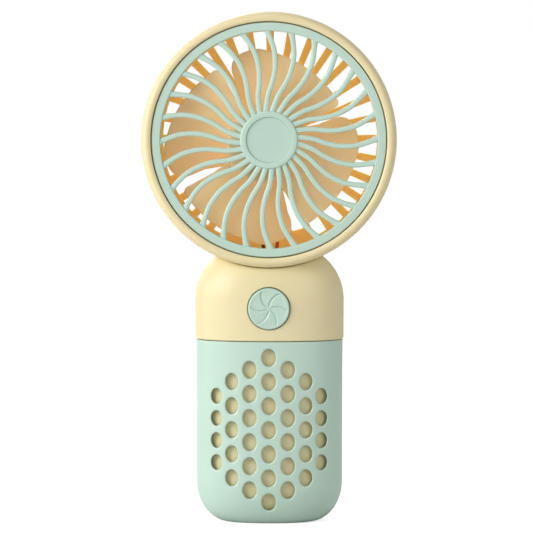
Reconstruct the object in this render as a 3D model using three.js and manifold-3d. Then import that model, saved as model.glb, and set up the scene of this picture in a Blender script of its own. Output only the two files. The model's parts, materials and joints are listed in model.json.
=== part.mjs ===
// Handheld electric fan: a round head seated on a domed oval handle, with a perforated sleeve
// slid over the lower part of the handle. Millimetres, +Z up, the front faces -Y.
// The origin is the middle of the foot that the fan stands on.
import * as THREE from "three";
import { mergeVertices } from "three/addons/utils/BufferGeometryUtils.js";
import Module from "manifold-3d";

const wasm = await Module();
wasm.setup();

// ---- driving dimensions ----
const overallHeight = 191.2;
const headRadius = 47.4;
const headDepth = 36;
const handleWidth = 56;
const handleDepth = 34;
const ovalPower = 2.3; // 2 is an ellipse, more is squarer
const fitGap = 0.3; // between pieces that touch or slide
const headSides = 48; // flats round the head
const ovalSides = 36; // flats round the handle

// head shells
const headWall = 2.2;
const bezelWidth = 3.6;
const bezelRise = 3.6;
const ledgeWidth = 1.6; // the front ring's ledge behind the grille
const headSplit = 12; // back from the front of the head to the joint between the two shells
const lipThickness = 1.5;
const lipReach = 2; // of the rear shell's lip inside the front ring
const rearRounding = 6.5;

// front grille
const grilleRingWidth = 3.1;
const grilleRingDepth = 3.8;
const grilleSetback = 1; // of the ring behind the crest of the bezel
const grilleGap = 0.4; // round the ring
const grilleHubRadius = 10.7;
const grilleHubRim = 2.3;
const badgeRecess = 1;
const badgeThickness = 0.6;
const ribCount = 28;
const ribWidth = 1.75;
const ribThickness = 2.8;
const ribRootWidth = 2.7; // where a rib meets the ring
const ribSetback = 0.4; // of all ribs behind the face of their ring
const ribPhase = 0.7; // degrees

// rear grille
const rearRibCount = 32;
const rearRibWidth = 3.1;
const rearHubRadius = 14.5;
const rearPlate = 3;
const rearRingWidth = 2.2;
const rearLedge = 2; // of the rear shell over the grille
const coverFrom = 244; // degrees: the ribs stand closed together here
const coverTo = 292;
const coverWidth = 5.5;

// impeller and motor
const bladeCount = 4;
const bladeSweep = 100; // degrees, at the root
const bladeClimb = 0.1; // for each degree
const bladeThickness = 1.3;
const bladeTipGap = 3.5; // inside the ring of the front grille
const impellerHubRadius = 13;
const impellerHubLength = 0.32 * headDepth;
const impellerSetback = 0.21 * headDepth; // hub front behind the crest of the bezel
const hubWall = 1.3;
const hubFace = 1.6;
const shaftBossRadius = 3.1;
const yokeWall = 0.7;
const magnetThickness = 1.2;
const shaftRadius = 1;
const bearingWall = 0.6;
const tubeWall = 0.7;
const coreThickness = 4;
const toothWidth = 1.6;
const coilWidth = 3.8;
const coilRise = 1.2; // of a coil over the faces of the core
const coilCount = 6;
const motorBoardThickness = 1.2;
const motorAside = -2.95; // of the motor from the axis of the head, seen from the front
const motorDrop = 2.85;
const motorScrewCount = 3;
const motorScrewCircle = 9.3; // radius
const socketWall = 1.8;
const pillarRadius = 2.2;

// handle
const handleWall = 2;
const domeRadius = 20.8;
const domeTuck = 8; // of the dome top above the lowest point of the head
const buttonMargin = 4.75; // between the button and the sleeve
const sleeveWall = 1.6;
const sleeveTaper = 0.15; // each side, top to bottom
const seamStep = 0.35; // the sleeve is this much inside the body above it
const cornerWidth = 11.4;
const cornerHeight = 15;

// sleeve holes
const holeWidth = 5.3;
const holeBridge = 2.4; // sleeve left between two holes of a column
const holeTopMargin = 5.9;
const holeBottomMargin = 8.7;
const holeRows = 7;
const sideColumns = 3;
const columnAngle = 14.8; // degrees round the oval

// button, circuit board and charging port
const buttonRadius = 7.7;
const buttonDrop = 2.4; // of the button below the foot of the dome
const buttonRise = 0.6; // out of the handle
const buttonFlange = 1.5;
const guideReach = 3.7; // of the button's guide behind the face of the handle
const guideWall = 1.8;
const buttonTravel = 0.8;
const boardWidth = 26;
const boardAbove = 5.8; // from the button's axis
const boardBelow = 9.8;
const boardThickness = 1.6;
const boardFront = 5.4;
const switchSize = 6;
const switchDepth = 3.5;
const plungerRadius = 1.75;
const plungerReach = 5.7;
const portWidth = 9;
const portHeight = 3.2;
const portBelow = 4.7; // from the button's axis
const portWall = 0.35;
const lightAbove = 2.6;
const lightRadius = 1.25;

// battery, screws and leads
const cellRadius = 9.2;
const padThickness = 1;
const screwRadius = 1.1;
const screwHeadRadius = 2.3;
const screwHeadHeight = 1.6;
const smallScrewRadius = 0.9;
const smallHeadRadius = 1.8;
const smallHeadHeight = 1.1;
const bossRadius = 3.1;
const leadRadius = 0.65;

// ---- places worked out from the dimensions ----
const headCentre = overallHeight - headRadius;
const headFront = -headDepth / 2;
const headBack = headDepth / 2;
const splitY = headFront + headSplit;
const halfWidth = handleWidth / 2;
const halfDepth = handleDepth / 2;
const domeTop = headCentre - headRadius + domeTuck;
const domeBase = domeTop - domeRadius;
const buttonZ = domeBase - buttonDrop;
const seamZ = buttonZ - buttonRadius - buttonMargin;
const grilleBore = headRadius - bezelWidth;
const grilleRadius = grilleBore - grilleGap;
const grilleInner = grilleRadius - grilleRingWidth;
const grilleFront = headFront + grilleSetback;
const grilleBack = grilleFront + grilleRingDepth;
const impellerRadius = grilleInner - bladeTipGap;
const motorZ = headCentre - motorDrop;
const hubFront = headFront + impellerSetback;
const hubBack = hubFront + impellerHubLength;
const shaftFront = hubFront + 1;
const motorBoardFront = hubBack + 2.2;
const motorBoardBack = motorBoardFront + motorBoardThickness;
const rearPlateFront = headBack - 1.5 - rearPlate;
const rearPlateBack = rearPlateFront + rearPlate;
const rearOpening = headRadius - rearRounding;
const rearGrilleRadius = rearOpening + rearLedge;
const portZ = buttonZ - portBelow;
const lightZ = buttonZ + lightAbove;
const boardTop = buttonZ + boardAbove;
const boardBottom = buttonZ - boardBelow;
const boardBack = boardFront + boardThickness;
const bodyInset = sleeveWall + fitGap; // of the inner body behind the outside of the sleeve
const cavityFloor = bodyInset + handleWall;
const neckHalfWidth = 12;
const neckFront = splitY + 1;
const neckBack = 0.53 * halfDepth;
const neckFlange = 4;
const saddleRadius = headRadius + fitGap;
const neckFlangeTop = headCentre - saddleRadius - handleWall - fitGap;
const neckFlangeBottom = neckFlangeTop - 2.6;

// ---- solids from three.js geometry, joined and cut ----
const degrees = THREE.MathUtils.degToRad;
const point = (x, y) => new THREE.Vector2(x, y);
const polar = (radius, angle) => point(radius * Math.cos(degrees(angle)), radius * Math.sin(degrees(angle)));

function solid(geometry) {
  const bare = geometry.index ? geometry.toNonIndexed() : geometry.clone();
  bare.deleteAttribute("normal");
  bare.deleteAttribute("uv");
  const merged = mergeVertices(bare, 1e-4);
  const corners = merged.getAttribute("position");
  const [a, b, c] = [new THREE.Vector3(), new THREE.Vector3(), new THREE.Vector3()];
  const kept = [];
  let volume = 0;
  for (let i = 0; i < merged.index.count; i += 3) {
    const triangle = [0, 1, 2].map((k) => merged.index.getX(i + k));
    if (new Set(triangle).size < 3) continue;
    kept.push(triangle);
    a.fromBufferAttribute(corners, triangle[0]);
    b.fromBufferAttribute(corners, triangle[1]);
    c.fromBufferAttribute(corners, triangle[2]);
    volume += a.dot(b.cross(c));
  }
  const outward = volume < 0 ? kept.map((triangle) => triangle.reverse()) : kept;
  return new wasm.Manifold(new wasm.Mesh({
    numProp: 3,
    vertProperties: new Float32Array(corners.array),
    triVerts: new Uint32Array(outward.flat()),
  }));
}

const join = (first, ...others) => others.reduce((sum, other) => sum.add(other), first);
const cut = (first, ...others) => others.reduce((left, other) => left.subtract(other), first);

// A box from its two corners.
function block(x0, x1, y0, y1, z0, z1) {
  const box = new THREE.BoxGeometry(x1 - x0, y1 - y0, z1 - z0);
  return solid(box.translate((x0 + x1) / 2, (y0 + y1) / 2, (z0 + z1) / 2));
}

// A round rod along Y.
function rod(radius, y0, y1, x, z, sides = 16) {
  const cylinder = new THREE.CylinderGeometry(radius, radius, y1 - y0, sides);
  return solid(cylinder.translate(x, (y0 + y1) / 2, z));
}

// A profile of radius and Y, turned about the axis of the head or about a parallel one.
function turned(profile, segments, x = 0, z = headCentre) {
  return solid(new THREE.LatheGeometry(profile, segments).translate(x, 0, z));
}

// A closed ring profile: the list of points, with the first one again at the end.
const closed = (profile) => [...profile, profile[0].clone()];

const ring = (inner, outer, y0, y1, segments, z = headCentre) =>
  turned(closed([point(inner, y0), point(outer, y0), point(outer, y1), point(inner, y1)]), segments, 0, z);

// Points along an elliptic arc about a centre, angles in degrees.
function arc(centreX, centreY, radiusX, radiusY, from, to, steps) {
  const clockwise = to < from;
  return new THREE.EllipseCurve(centreX, centreY, radiusX, radiusY, degrees(from), degrees(to), clockwise)
    .getPoints(steps);
}

// A flat outline in X and Z, thickened along Y and centred on an axis.
function plate(shape, y0, y1, x = 0, z = headCentre, curveSegments = 6) {
  const slab = new THREE.ExtrudeGeometry(shape, { depth: y1 - y0, bevelEnabled: false, curveSegments });
  return solid(slab.rotateX(Math.PI / 2).translate(x, y1, z));
}

// A round lead through a list of points.
function lead(points, steps) {
  const section = new THREE.Shape().absarc(0, 0, leadRadius, 0, 2 * Math.PI, false);
  const extrudePath = new THREE.CatmullRomCurve3(points.map((place) => new THREE.Vector3(...place)));
  return solid(new THREE.ExtrudeGeometry(section, { extrudePath, steps, curveSegments: 3 }));
}

// The profile of half width and height, turned, then squeezed to the oval of the handle.
// Every section is the same superellipse, scaled, and drawn in all round by the inset.
function ovalSolid(profile, inset) {
  const body = new THREE.LatheGeometry(profile, ovalSides);
  const corners = body.getAttribute("position");
  const power = 2 / ovalPower;
  const bulge = (value) => Math.sign(value) * Math.abs(value) ** power;
  for (let i = 0; i < corners.count; i += 1) {
    const wide = Math.hypot(corners.getX(i), corners.getZ(i));
    const deep = wide < 1e-6 ? 0 : (wide + inset) * (halfDepth / halfWidth) - inset;
    const turn = Math.atan2(corners.getZ(i), corners.getX(i));
    const height = corners.getY(i);
    const snap = (value) => (Math.abs(value) < 1e-9 ? 0 : value);
    corners.setXYZ(i, wide * bulge(snap(Math.cos(turn))), deep * bulge(snap(Math.sin(turn))), height);
  }
  return solid(body);
}

// The lower part of the handle, drawn in from the outside of the sleeve, up to a given height.
function lowerBody(inset, top) {
  const side = halfWidth - seamStep;
  const foot = side - sleeveTaper - cornerWidth;
  const corner = arc(foot, cornerHeight, cornerWidth - inset, cornerHeight - inset, -90, 0, 4);
  return ovalSolid([point(0, inset), ...corner, point(side - inset, top), point(0, top)], inset);
}

// The upper part of the handle with its dome, drawn in from its outside, down to a given height.
function upperBody(inset, bottom) {
  const shoulder = halfWidth - domeRadius;
  const dome = arc(shoulder, domeBase, domeRadius - inset, domeRadius - inset, 0, 90, 5);
  const foot = point(halfWidth - inset, bottom);
  return ovalSolid([point(0, bottom), foot, ...dome, point(0, domeTop - inset)], inset);
}

// ---- the fan as a scene graph ----
const fan = new THREE.Group();
const motor = new THREE.Group();
motor.position.set(motorAside, 0, motorZ);
fan.add(motor);

function add(name, shape, [color, roughness, metalness], group = fan) {
  const mesh = shape.getMesh();
  const geometry = new THREE.BufferGeometry();
  geometry.setAttribute("position", new THREE.BufferAttribute(mesh.vertProperties, 3));
  geometry.setIndex(new THREE.BufferAttribute(mesh.triVerts, 1));
  geometry.computeVertexNormals();
  const part = new THREE.Mesh(geometry, new THREE.MeshStandardMaterial({ color, roughness, metalness }));
  part.name = name;
  group.add(part);
}

const mintPlastic = ["#bcdccd", 0.45, 0];
const yellowPlastic = ["#f6e3b0", 0.45, 0];
const honeyPlastic = ["#e6ae52", 0.5, 0];
const peachPlastic = ["#e5c097", 0.5, 0];
const steel = ["#b9bcc0", 0.35, 1];
const ferrite = ["#3a3a3c", 0.6, 0.2];
const bronze = ["#b08346", 0.5, 1];
const copper = ["#c0703a", 0.35, 1];
const boardGreen = ["#2f6b46", 0.6, 0];
const blackPlastic = ["#1d1d1f", 0.5, 0];
const clearPlastic = ["#eef4f6", 0.2, 0];
const cellWrap = ["#4f86b8", 0.4, 0];
const foam = ["#5a5a5c", 0.9, 0];
const redSheath = ["#b8322c", 0.5, 0];
const blackSheath = ["#242426", 0.5, 0];

// ---- head ----
function frontRing() {
  const wallInner = headRadius - headWall;
  const crest = headRadius - bezelWidth / 2;
  const seat = grilleBack + fitGap;
  const ledge = grilleBore - ledgeWidth;
  const outside = arc(crest, headFront + bezelRise, bezelWidth / 2, bezelRise, 0, -90, 4);
  const inside = arc(crest, headFront + bezelWidth / 2, bezelWidth / 2, bezelWidth / 2, -90, -180, 3);
  return turned(closed([
    point(wallInner, splitY - fitGap / 2),
    point(headRadius, splitY - fitGap / 2),
    ...outside,
    ...inside.slice(1),
    point(grilleBore, seat),
    point(ledge, seat),
    point(ledge, seat + ledgeWidth),
    point(wallInner, seat + ledgeWidth),
  ]), headSides);
}

function rearShell() {
  const wallInner = headRadius - headWall;
  const lipOuter = wallInner - fitGap;
  const lipInner = lipOuter - lipThickness;
  const seat = rearPlateBack + fitGap;
  const pocket = rearGrilleRadius + fitGap;
  const rounding = arc(rearOpening, headBack - rearRounding, rearRounding, rearRounding, 0, 90, 4);
  const wall = turned(closed([
    point(lipInner, splitY - lipReach),
    point(lipOuter, splitY - lipReach),
    point(lipOuter, splitY + fitGap / 2),
    point(headRadius, splitY + fitGap / 2),
    ...rounding,
    point(rearOpening - 0.1, headBack),
    point(rearOpening - 0.1, seat),
    point(pocket, seat),
    point(pocket, seat - rearPlate - 1),
    point(wallInner, seat - rearPlate - 3),
    point(wallInner, splitY + lipReach + 2),
    point(lipInner, splitY + lipReach),
  ]), headSides);
  const head = rod(headRadius - headWall / 2, neckFront - 1, neckBack + 1, 0, headCentre, headSides);
  const post = block(-neckHalfWidth, neckHalfWidth, neckFront, neckBack, neckFlangeBottom, headCentre);
  const wide = neckHalfWidth + neckFlange;
  const flange = block(-wide, wide, neckFront, neckBack, neckFlangeBottom, neckFlangeTop);
  const channel = block(-4, 4, 0, 6, neckFlangeBottom - 1, headCentre - headRadius / 2);
  return cut(join(wall, cut(post, head), flange), channel);
}

// One S-curved rib of the front grille: points of its middle line are a share of the way from
// hub to ring, and degrees round from where it meets the ring.
function curvedRib(angle) {
  const line = new THREE.SplineCurve([
    [-0.03, 6.3], [0.19, 0.6], [0.36, -4.1], [0.55, -5.6], [0.77, -3.9], [1.03, 0.6],
  ].map(([share, turn]) => polar(grilleHubRadius + share * (grilleInner - grilleHubRadius), angle + turn)));
  const steps = 9;
  const sides = [1, -1].map((side) => Array.from({ length: steps + 1 }, (_, i) => {
    const along = line.getPoint(i / steps);
    const across = line.getTangent(i / steps).rotateAround(point(0, 0), Math.PI / 2);
    const flare = Math.max(0, i / steps - 0.8) / 0.2;
    const width = ribWidth + (ribRootWidth - ribWidth) * flare;
    return along.addScaledVector(across, (side * width) / 2);
  }));
  const front = grilleFront + ribSetback;
  return plate(new THREE.Shape([...sides[0], ...sides[1].reverse()]), front, front + ribThickness);
}

function frontGrille() {
  const bevel = 0.7;
  const rim = turned(closed([
    point(grilleInner, grilleFront + bevel),
    point(grilleInner + bevel, grilleFront),
    point(grilleRadius - bevel, grilleFront),
    point(grilleRadius, grilleFront + bevel),
    point(grilleRadius, grilleBack),
    point(grilleInner, grilleBack),
  ]), headSides);
  const recess = grilleHubRadius - grilleHubRim;
  const hub = turned([
    point(0, grilleFront + badgeRecess),
    point(recess, grilleFront + badgeRecess),
    point(recess, grilleFront - 0.2),
    point(grilleHubRadius - bevel, grilleFront - 0.2),
    point(grilleHubRadius, grilleFront + bevel - 0.2),
    point(grilleHubRadius, grilleBack - 0.6),
    point(0, grilleBack - 0.6),
  ], 36);
  const ribs = Array.from({ length: ribCount }, (_, i) => curvedRib((360 / ribCount) * i + ribPhase));
  return join(rim, hub, ...ribs);
}

function grilleBadge() {
  const front = grilleFront + badgeRecess - fitGap - badgeThickness;
  return rod(grilleHubRadius - grilleHubRim - fitGap, front, front + badgeThickness, 0, headCentre, 32);
}

// The places of the screws that hold the motor board, about the motor's axis, as x and z.
const motorScrewPlaces = Array.from({ length: motorScrewCount }, (_, i) =>
  polar(motorScrewCircle, 30 + (360 / motorScrewCount) * i).toArray());
const tubeOuter = shaftRadius + fitGap + bearingWall + fitGap + tubeWall;

function rearGrille() {
  const openingRadius = rearGrilleRadius - rearRingWidth;
  const rim = ring(openingRadius, rearGrilleRadius, rearPlateFront, rearPlateBack, headSides);
  const hub = rod(rearHubRadius, rearPlateFront, rearPlateBack, 0, headCentre, 28);
  const inner = rearHubRadius - 1;
  const outer = openingRadius + 1;
  const [front, back] = [rearPlateFront + ribSetback, rearPlateBack - ribSetback / 2];
  const narrow = rearRibWidth * 0.27;
  const ribs = Array.from({ length: rearRibCount }, (_, i) => {
    const turn = degrees((360 / rearRibCount) * i);
    const outline = [
      [inner, narrow], [outer, rearRibWidth / 2], [outer, -rearRibWidth / 2], [inner, -narrow],
    ].map(([x, y]) => point(x, y).rotateAround(point(0, 0), turn));
    return plate(new THREE.Shape(outline), front, back);
  });
  const band = new THREE.Shape([
    ...arc(0, 0, outer, outer, coverFrom, coverTo, 6),
    ...arc(0, 0, outer - coverWidth, outer - coverWidth, coverTo, coverFrom, 6),
  ]);
  const cover = plate(band, front, back);
  const socketFront = motorBoardBack + fitGap;
  const boreRadius = tubeOuter + fitGap;
  const socket = rod(boreRadius + socketWall, socketFront, rearPlateFront + 1, motorAside, motorZ, 20);
  const bore = rod(boreRadius, socketFront - 1, rearPlateFront, motorAside, motorZ, 20);
  const pillars = motorScrewPlaces.map(([x, z]) =>
    rod(pillarRadius, socketFront, rearPlateFront + 1, motorAside + x, motorZ + z, 12));
  const pilots = motorScrewPlaces.map(([x, z]) =>
    rod(smallScrewRadius + fitGap, socketFront - 1, rearPlateFront - 1, motorAside + x, motorZ + z, 10));
  return cut(join(rim, hub, cover, ...ribs, socket, ...pillars), bore, ...pilots);
}

// ---- impeller: a thin bar bent round the axis as it climbs, trimmed to the outline of a petal ----
function petal(angle) {
  const steps = 7;
  const root = impellerHubRadius - 0.8;
  const bar = new THREE.Shape([
    point(root, 0), point(impellerRadius / 2, 0), point(impellerRadius + 2, 0),
    point(impellerRadius + 2, bladeThickness), point(impellerRadius / 2, bladeThickness),
    point(root, bladeThickness),
  ]);
  const blade = new THREE.ExtrudeGeometry(bar, { depth: 1, steps, bevelEnabled: false });
  const corners = blade.getAttribute("position");
  const first = hubFront + 0.9;
  for (let i = 0; i < corners.count; i += 1) {
    const share = corners.getZ(i);
    const turn = (share - 0.05) * bladeSweep;
    const place = polar(corners.getX(i), angle + turn);
    corners.setXYZ(i, place.x, first + corners.getY(i) + turn * bladeClimb, place.y);
  }
  const at = (radius, turn) => polar(radius, angle + turn).toArray();
  const outline = new THREE.Shape()
    .moveTo(...at(root, -4))
    .lineTo(...at(impellerRadius * 0.55, 0.2))
    .lineTo(...at(impellerRadius * 0.84, 0.2))
    .quadraticCurveTo(...at(impellerRadius * 0.9, 0.2), ...at(impellerRadius * 0.91, 4))
    .quadraticCurveTo(...at(impellerRadius * 1.03, 34), ...at(impellerRadius, 64))
    .quadraticCurveTo(...at(impellerRadius * 1.03, 85), ...at(impellerRadius * 0.74, 84.3))
    .lineTo(...at(impellerRadius * 0.62, 84))
    .lineTo(...at(root, 94));
  return solid(blade).intersect(plate(outline, hubFront - 5, hubBack + 5, 0, 0));
}

function impeller() {
  const inner = impellerHubRadius - hubWall;
  const bevel = 1.2;
  const hub = turned([
    point(0, hubFront),
    point(impellerHubRadius - bevel, hubFront),
    point(impellerHubRadius, hubFront + bevel),
    point(impellerHubRadius, hubBack),
    point(inner, hubBack),
    point(inner, hubFront + hubFace),
    point(shaftBossRadius, hubFront + hubFace),
    point(shaftBossRadius, hubFront + hubFace + 2),
    point(shaftRadius + fitGap, hubFront + hubFace + 2),
    point(shaftRadius + fitGap, shaftFront - fitGap),
    point(0, shaftFront - fitGap),
  ], 36, 0, 0);
  const blades = Array.from({ length: bladeCount }, (_, i) => petal(27.7 + (360 / bladeCount) * i));
  return join(hub, ...blades);
}

const yokeOuter = impellerHubRadius - hubWall - fitGap;
const magnetOuter = yokeOuter - yokeWall - fitGap;
const magnetInner = magnetOuter - magnetThickness;
const coreRadius = magnetInner - 0.4;
const coreFront = hubFront + 5.2;

function rotorYoke() {
  const front = hubFront + hubFace + fitGap;
  const hole = shaftBossRadius + fitGap;
  return turned(closed([
    point(hole, front),
    point(yokeOuter, front),
    point(yokeOuter, hubBack - 0.3),
    point(yokeOuter - yokeWall, hubBack - 0.3),
    point(yokeOuter - yokeWall, front + yokeWall),
    point(hole, front + yokeWall),
  ]), 32, 0, 0);
}

// One stator: a ring with a tooth for each coil, widening to a curved shoe at its end.
const coreBore = tubeOuter + fitGap;
function statorCore() {
  const corners = [];
  for (let i = 0; i < coilCount; i += 1) {
    const angle = (360 / coilCount) * i;
    const turn = degrees(angle);
    const beside = (x, y) => point(x, y).rotateAround(point(0, 0), turn);
    corners.push(
      beside(coreBore + 1.4, -toothWidth / 2), beside(coreRadius - 1.3, -toothWidth / 2),
      polar(coreRadius - 1, angle - 21), polar(coreRadius, angle - 21), polar(coreRadius, angle),
      polar(coreRadius, angle + 21), polar(coreRadius - 1, angle + 21),
      beside(coreRadius - 1.3, toothWidth / 2), beside(coreBore + 1.4, toothWidth / 2),
    );
  }
  const shape = new THREE.Shape(corners);
  shape.holes.push(new THREE.Path().absarc(0, 0, coreBore, 0, 2 * Math.PI, true));
  return plate(shape, coreFront, coreFront + coreThickness, 0, 0, 8);
}

function statorCoil(i) {
  const [near, far] = [coreBore + 1.7, coreRadius - 1.6];
  const [front, back] = [coreFront - coilRise, coreFront + coreThickness + coilRise];
  const winding = new THREE.BoxGeometry(far - near, back - front, coilWidth);
  const tooth = new THREE.BoxGeometry(far - near + 1, coreThickness + 2 * fitGap, toothWidth + 2 * fitGap);
  const turn = -degrees((360 / coilCount) * i);
  const set = (box) => solid(box.translate((near + far) / 2, (front + back) / 2, 0).rotateY(turn));
  return cut(set(winding), set(tooth));
}

function motorBoard() {
  const disc = ring(tubeOuter + fitGap, impellerHubRadius - 0.6, motorBoardFront, motorBoardBack, 28, 0);
  const holes = motorScrewPlaces.map(([x, z]) =>
    rod(smallScrewRadius + fitGap, motorBoardFront - 1, motorBoardBack + 1, x, z, 10));
  return cut(disc, ...holes);
}

// A screw along Y with its head at the given end: facing -1 puts the head towards the front.
function screw(x, z, headFace, facing, radius, capRadius, headHeight, length) {
  const y = (distance) => headFace - facing * distance;
  return turned([
    point(0, y(0)),
    point(capRadius * 0.8, y(0)),
    point(capRadius, y(headHeight * 0.4)),
    point(capRadius, y(headHeight)),
    point(radius, y(headHeight)),
    point(radius, y(length - 1)),
    point(0, y(length)),
  ], 10, x, z);
}

// A small screw driven in from the front, its head resting against a face at the given y.
const smallScrew = (x, z, face, length) =>
  screw(x, z, face - smallHeadHeight, -1, smallScrewRadius, smallHeadRadius, smallHeadHeight, length);

// ---- handle ----
const shellScrewPlaces = [
  [-19.5, seamZ + 6.7], [19.5, seamZ + 6.7], [-16, cavityFloor + 16], [16, cavityFloor + 16],
];
const screwSeat = 9; // of the shell screws behind the middle plane
const boardScrewPlaces = [-1, 1].map((side) => [side * (boardWidth / 2 - 2.6), boardTop - 2.8]);

function handleBody() {
  const saddle = (radius) => rod(radius, -halfDepth * 2, halfDepth * 2, 0, headCentre, headSides);
  const outside = join(lowerBody(bodyInset, seamZ + 2), upperBody(0, seamZ + fitGap));
  const inset = bodyInset + handleWall;
  const cavity = join(
    lowerBody(inset, seamZ + 1),
    upperBody(handleWall, seamZ + fitGap + handleWall),
    ovalSolid([point(0, seamZ), point(halfWidth - seamStep - inset, seamZ),
      point(halfWidth - seamStep - inset, seamZ + 4), point(0, seamZ + 4)], inset),
  );
  const neckOpening = block(-neckHalfWidth - fitGap, neckHalfWidth + fitGap, neckFront - fitGap,
    neckBack + fitGap, neckFlangeBottom, domeTop);
  const skin = cut(outside, saddle(saddleRadius));
  return { skin, shell: cut(skin, cut(cavity, saddle(saddleRadius + handleWall)), neckOpening) };
}

const frontSpace = block(-99, 99, -99, -fitGap / 2, -9, 299);
const rearSpace = block(-99, 99, fitGap / 2, 99, -9, 299);

function handleFrontShell({ skin, shell }) {
  const bosses = shellScrewPlaces.map(([x, z]) => rod(bossRadius, -halfDepth, 0, x, z, 14));
  const pilots = shellScrewPlaces.map(([x, z]) => rod(screwRadius + fitGap, -8, 1, x, z, 10));
  const guideBack = -halfDepth + guideReach;
  const guide = rod(buttonRadius + fitGap + guideWall, -halfDepth, guideBack, 0, buttonZ, 36);
  const hole = rod(buttonRadius + fitGap, -halfDepth - 1, guideBack + 1, 0, buttonZ, 36);
  const filled = join(shell, ...bosses.map((boss) => boss.intersect(skin)), guide.intersect(skin));
  return cut(filled, hole, ...pilots).intersect(frontSpace);
}

function cradle(z) {
  const wall = block(-cellRadius - 4, cellRadius + 4, fitGap, halfDepth, z - 0.8, z + 0.8);
  const bed = new THREE.CylinderGeometry(cellRadius + fitGap, cellRadius + fitGap, 4, 32);
  return cut(wall, solid(bed.rotateX(Math.PI / 2).translate(0, 0, z)));
}

function roundedSlot(width, height, y0, y1, z) {
  const corner = height * 0.48;
  const [x, y] = [width / 2 - corner, height / 2 - corner];
  const outline = new THREE.Shape()
    .absarc(x, y, corner, 0, Math.PI / 2)
    .absarc(-x, y, corner, Math.PI / 2, Math.PI)
    .absarc(-x, -y, corner, Math.PI, 1.5 * Math.PI)
    .absarc(x, -y, corner, 1.5 * Math.PI, 2 * Math.PI);
  return plate(outline, y0, y1, 0, z, 3);
}

const cellBottom = cavityFloor + fitGap + padThickness + fitGap;
const cellTop = boardBottom - 1.4;

function handleRearShell({ skin, shell }) {
  const bosses = shellScrewPlaces.map(([x, z]) => rod(bossRadius, 0, halfDepth, x, z, 14));
  const holes = shellScrewPlaces.map(([x, z]) => rod(screwRadius + fitGap, -1, halfDepth, x, z, 10));
  const sinks = shellScrewPlaces.map(([x, z]) =>
    rod(screwHeadRadius + fitGap, screwSeat, halfDepth + 1, x, z, 16));
  const posts = boardScrewPlaces.map(([x, z]) => rod(2.5, boardBack + fitGap, halfDepth, x, z, 12));
  const pilots = boardScrewPlaces.map(([x, z]) =>
    rod(smallScrewRadius + fitGap, boardBack, boardBack + 5, x, z, 10));
  const beds = [0.25, 0.75].map((share) => cradle(cellBottom + share * (cellTop - cellBottom)));
  const added = [...bosses, ...posts, ...beds].map((piece) => piece.intersect(skin));
  const portHole = roundedSlot(
    portWidth + 2 * fitGap, portHeight + 2 * fitGap, boardBack + 3, halfDepth + 1, portZ);
  const lightHole = rod(lightRadius + fitGap, boardBack + 3, halfDepth + 1, 0, lightZ, 14);
  return cut(join(shell, ...added), ...holes, ...sinks, ...pilots, portHole, lightHole).intersect(rearSpace);
}

// Oval holes in columns round the sleeve; every second column stands half a step lower, and
// each column further out is one hole shorter, so that the pattern ends in a point above and below.
function sleeveHoles() {
  const pitch = (seamZ - holeTopMargin - holeBottomMargin) / (holeRows - 1);
  const middle = holeBottomMargin + (pitch * (holeRows - 1)) / 2;
  const holes = [];
  for (let column = -sideColumns; column <= sideColumns; column += 1) {
    const out = Math.abs(column);
    const turn = degrees(columnAngle * out);
    const x = Math.sign(column) * halfWidth * Math.sin(turn);
    const narrowing = Math.cos(turn * 0.88);
    const columnPitch = out === sideColumns ? pitch * 0.92 : pitch;
    const count = holeRows - out;
    for (let row = 0; row < count; row += 1) {
      const oval = new THREE.Shape().absellipse(0, 0, (holeWidth / 2) * narrowing,
        ((pitch - holeBridge) / 2) * (out > 1 ? 0.5 + narrowing / 2 : 1), 0, 2 * Math.PI, false, 0);
      const z = middle + columnPitch * (row - (count - 1) / 2);
      holes.push(plate(oval, -halfDepth - 1, -fitGap, x, z, 4));
    }
  }
  return holes;
}

function lowerSleeve() {
  const cup = cut(lowerBody(0, seamZ), lowerBody(sleeveWall, seamZ + 1));
  return cut(cup, ...sleeveHoles());
}

function buttonCap(plungerTip) {
  const front = -halfDepth - buttonRise;
  const flangeFront = -halfDepth + guideReach + fitGap;
  return turned([
    point(0, front - 0.25),
    point(buttonRadius * 0.5, front - 0.2),
    point(buttonRadius - 0.9, front),
    point(buttonRadius, front + 0.8),
    point(buttonRadius, flangeFront),
    point(buttonRadius + buttonFlange, flangeFront),
    point(buttonRadius + buttonFlange, flangeFront + 1.2),
    point(2.4, flangeFront + 1.2),
    point(1.8, plungerTip - fitGap),
    point(0, plungerTip - fitGap),
  ], 36, 0, buttonZ);
}

function mainBoard() {
  const slab = block(-boardWidth / 2, boardWidth / 2, boardFront, boardBack, boardBottom, boardTop);
  const holes = boardScrewPlaces.map(([x, z]) =>
    rod(smallScrewRadius + fitGap, boardFront - 1, boardBack + 1, x, z, 10));
  return cut(slab, ...holes);
}

function portShell() {
  const [front, back] = [boardBack + fitGap, halfDepth - 0.6];
  const inside = roundedSlot(
    portWidth - 2 * portWall, portHeight - 2 * portWall, front + 1, back + 1, portZ);
  return cut(roundedSlot(portWidth, portHeight, front, back, portZ), inside);
}

function batteryCell() {
  const profile = [
    point(0, cellBottom), point(cellRadius - 0.5, cellBottom), point(cellRadius, cellBottom + 0.5),
    point(cellRadius, cellTop - 1.3), point(cellRadius - 0.5, cellTop - 0.8), point(2.8, cellTop - 0.8),
    point(2.8, cellTop), point(0, cellTop),
  ];
  return solid(new THREE.LatheGeometry(profile, 28).rotateX(Math.PI / 2));
}

// ---- build everything ----
add("head_front_ring", frontRing(), yellowPlastic);
add("head_rear_shell", rearShell(), yellowPlastic);
add("front_grille", frontGrille(), mintPlastic);
add("grille_badge", grilleBadge(), mintPlastic);
add("rear_grille", rearGrille(), honeyPlastic);

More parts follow.
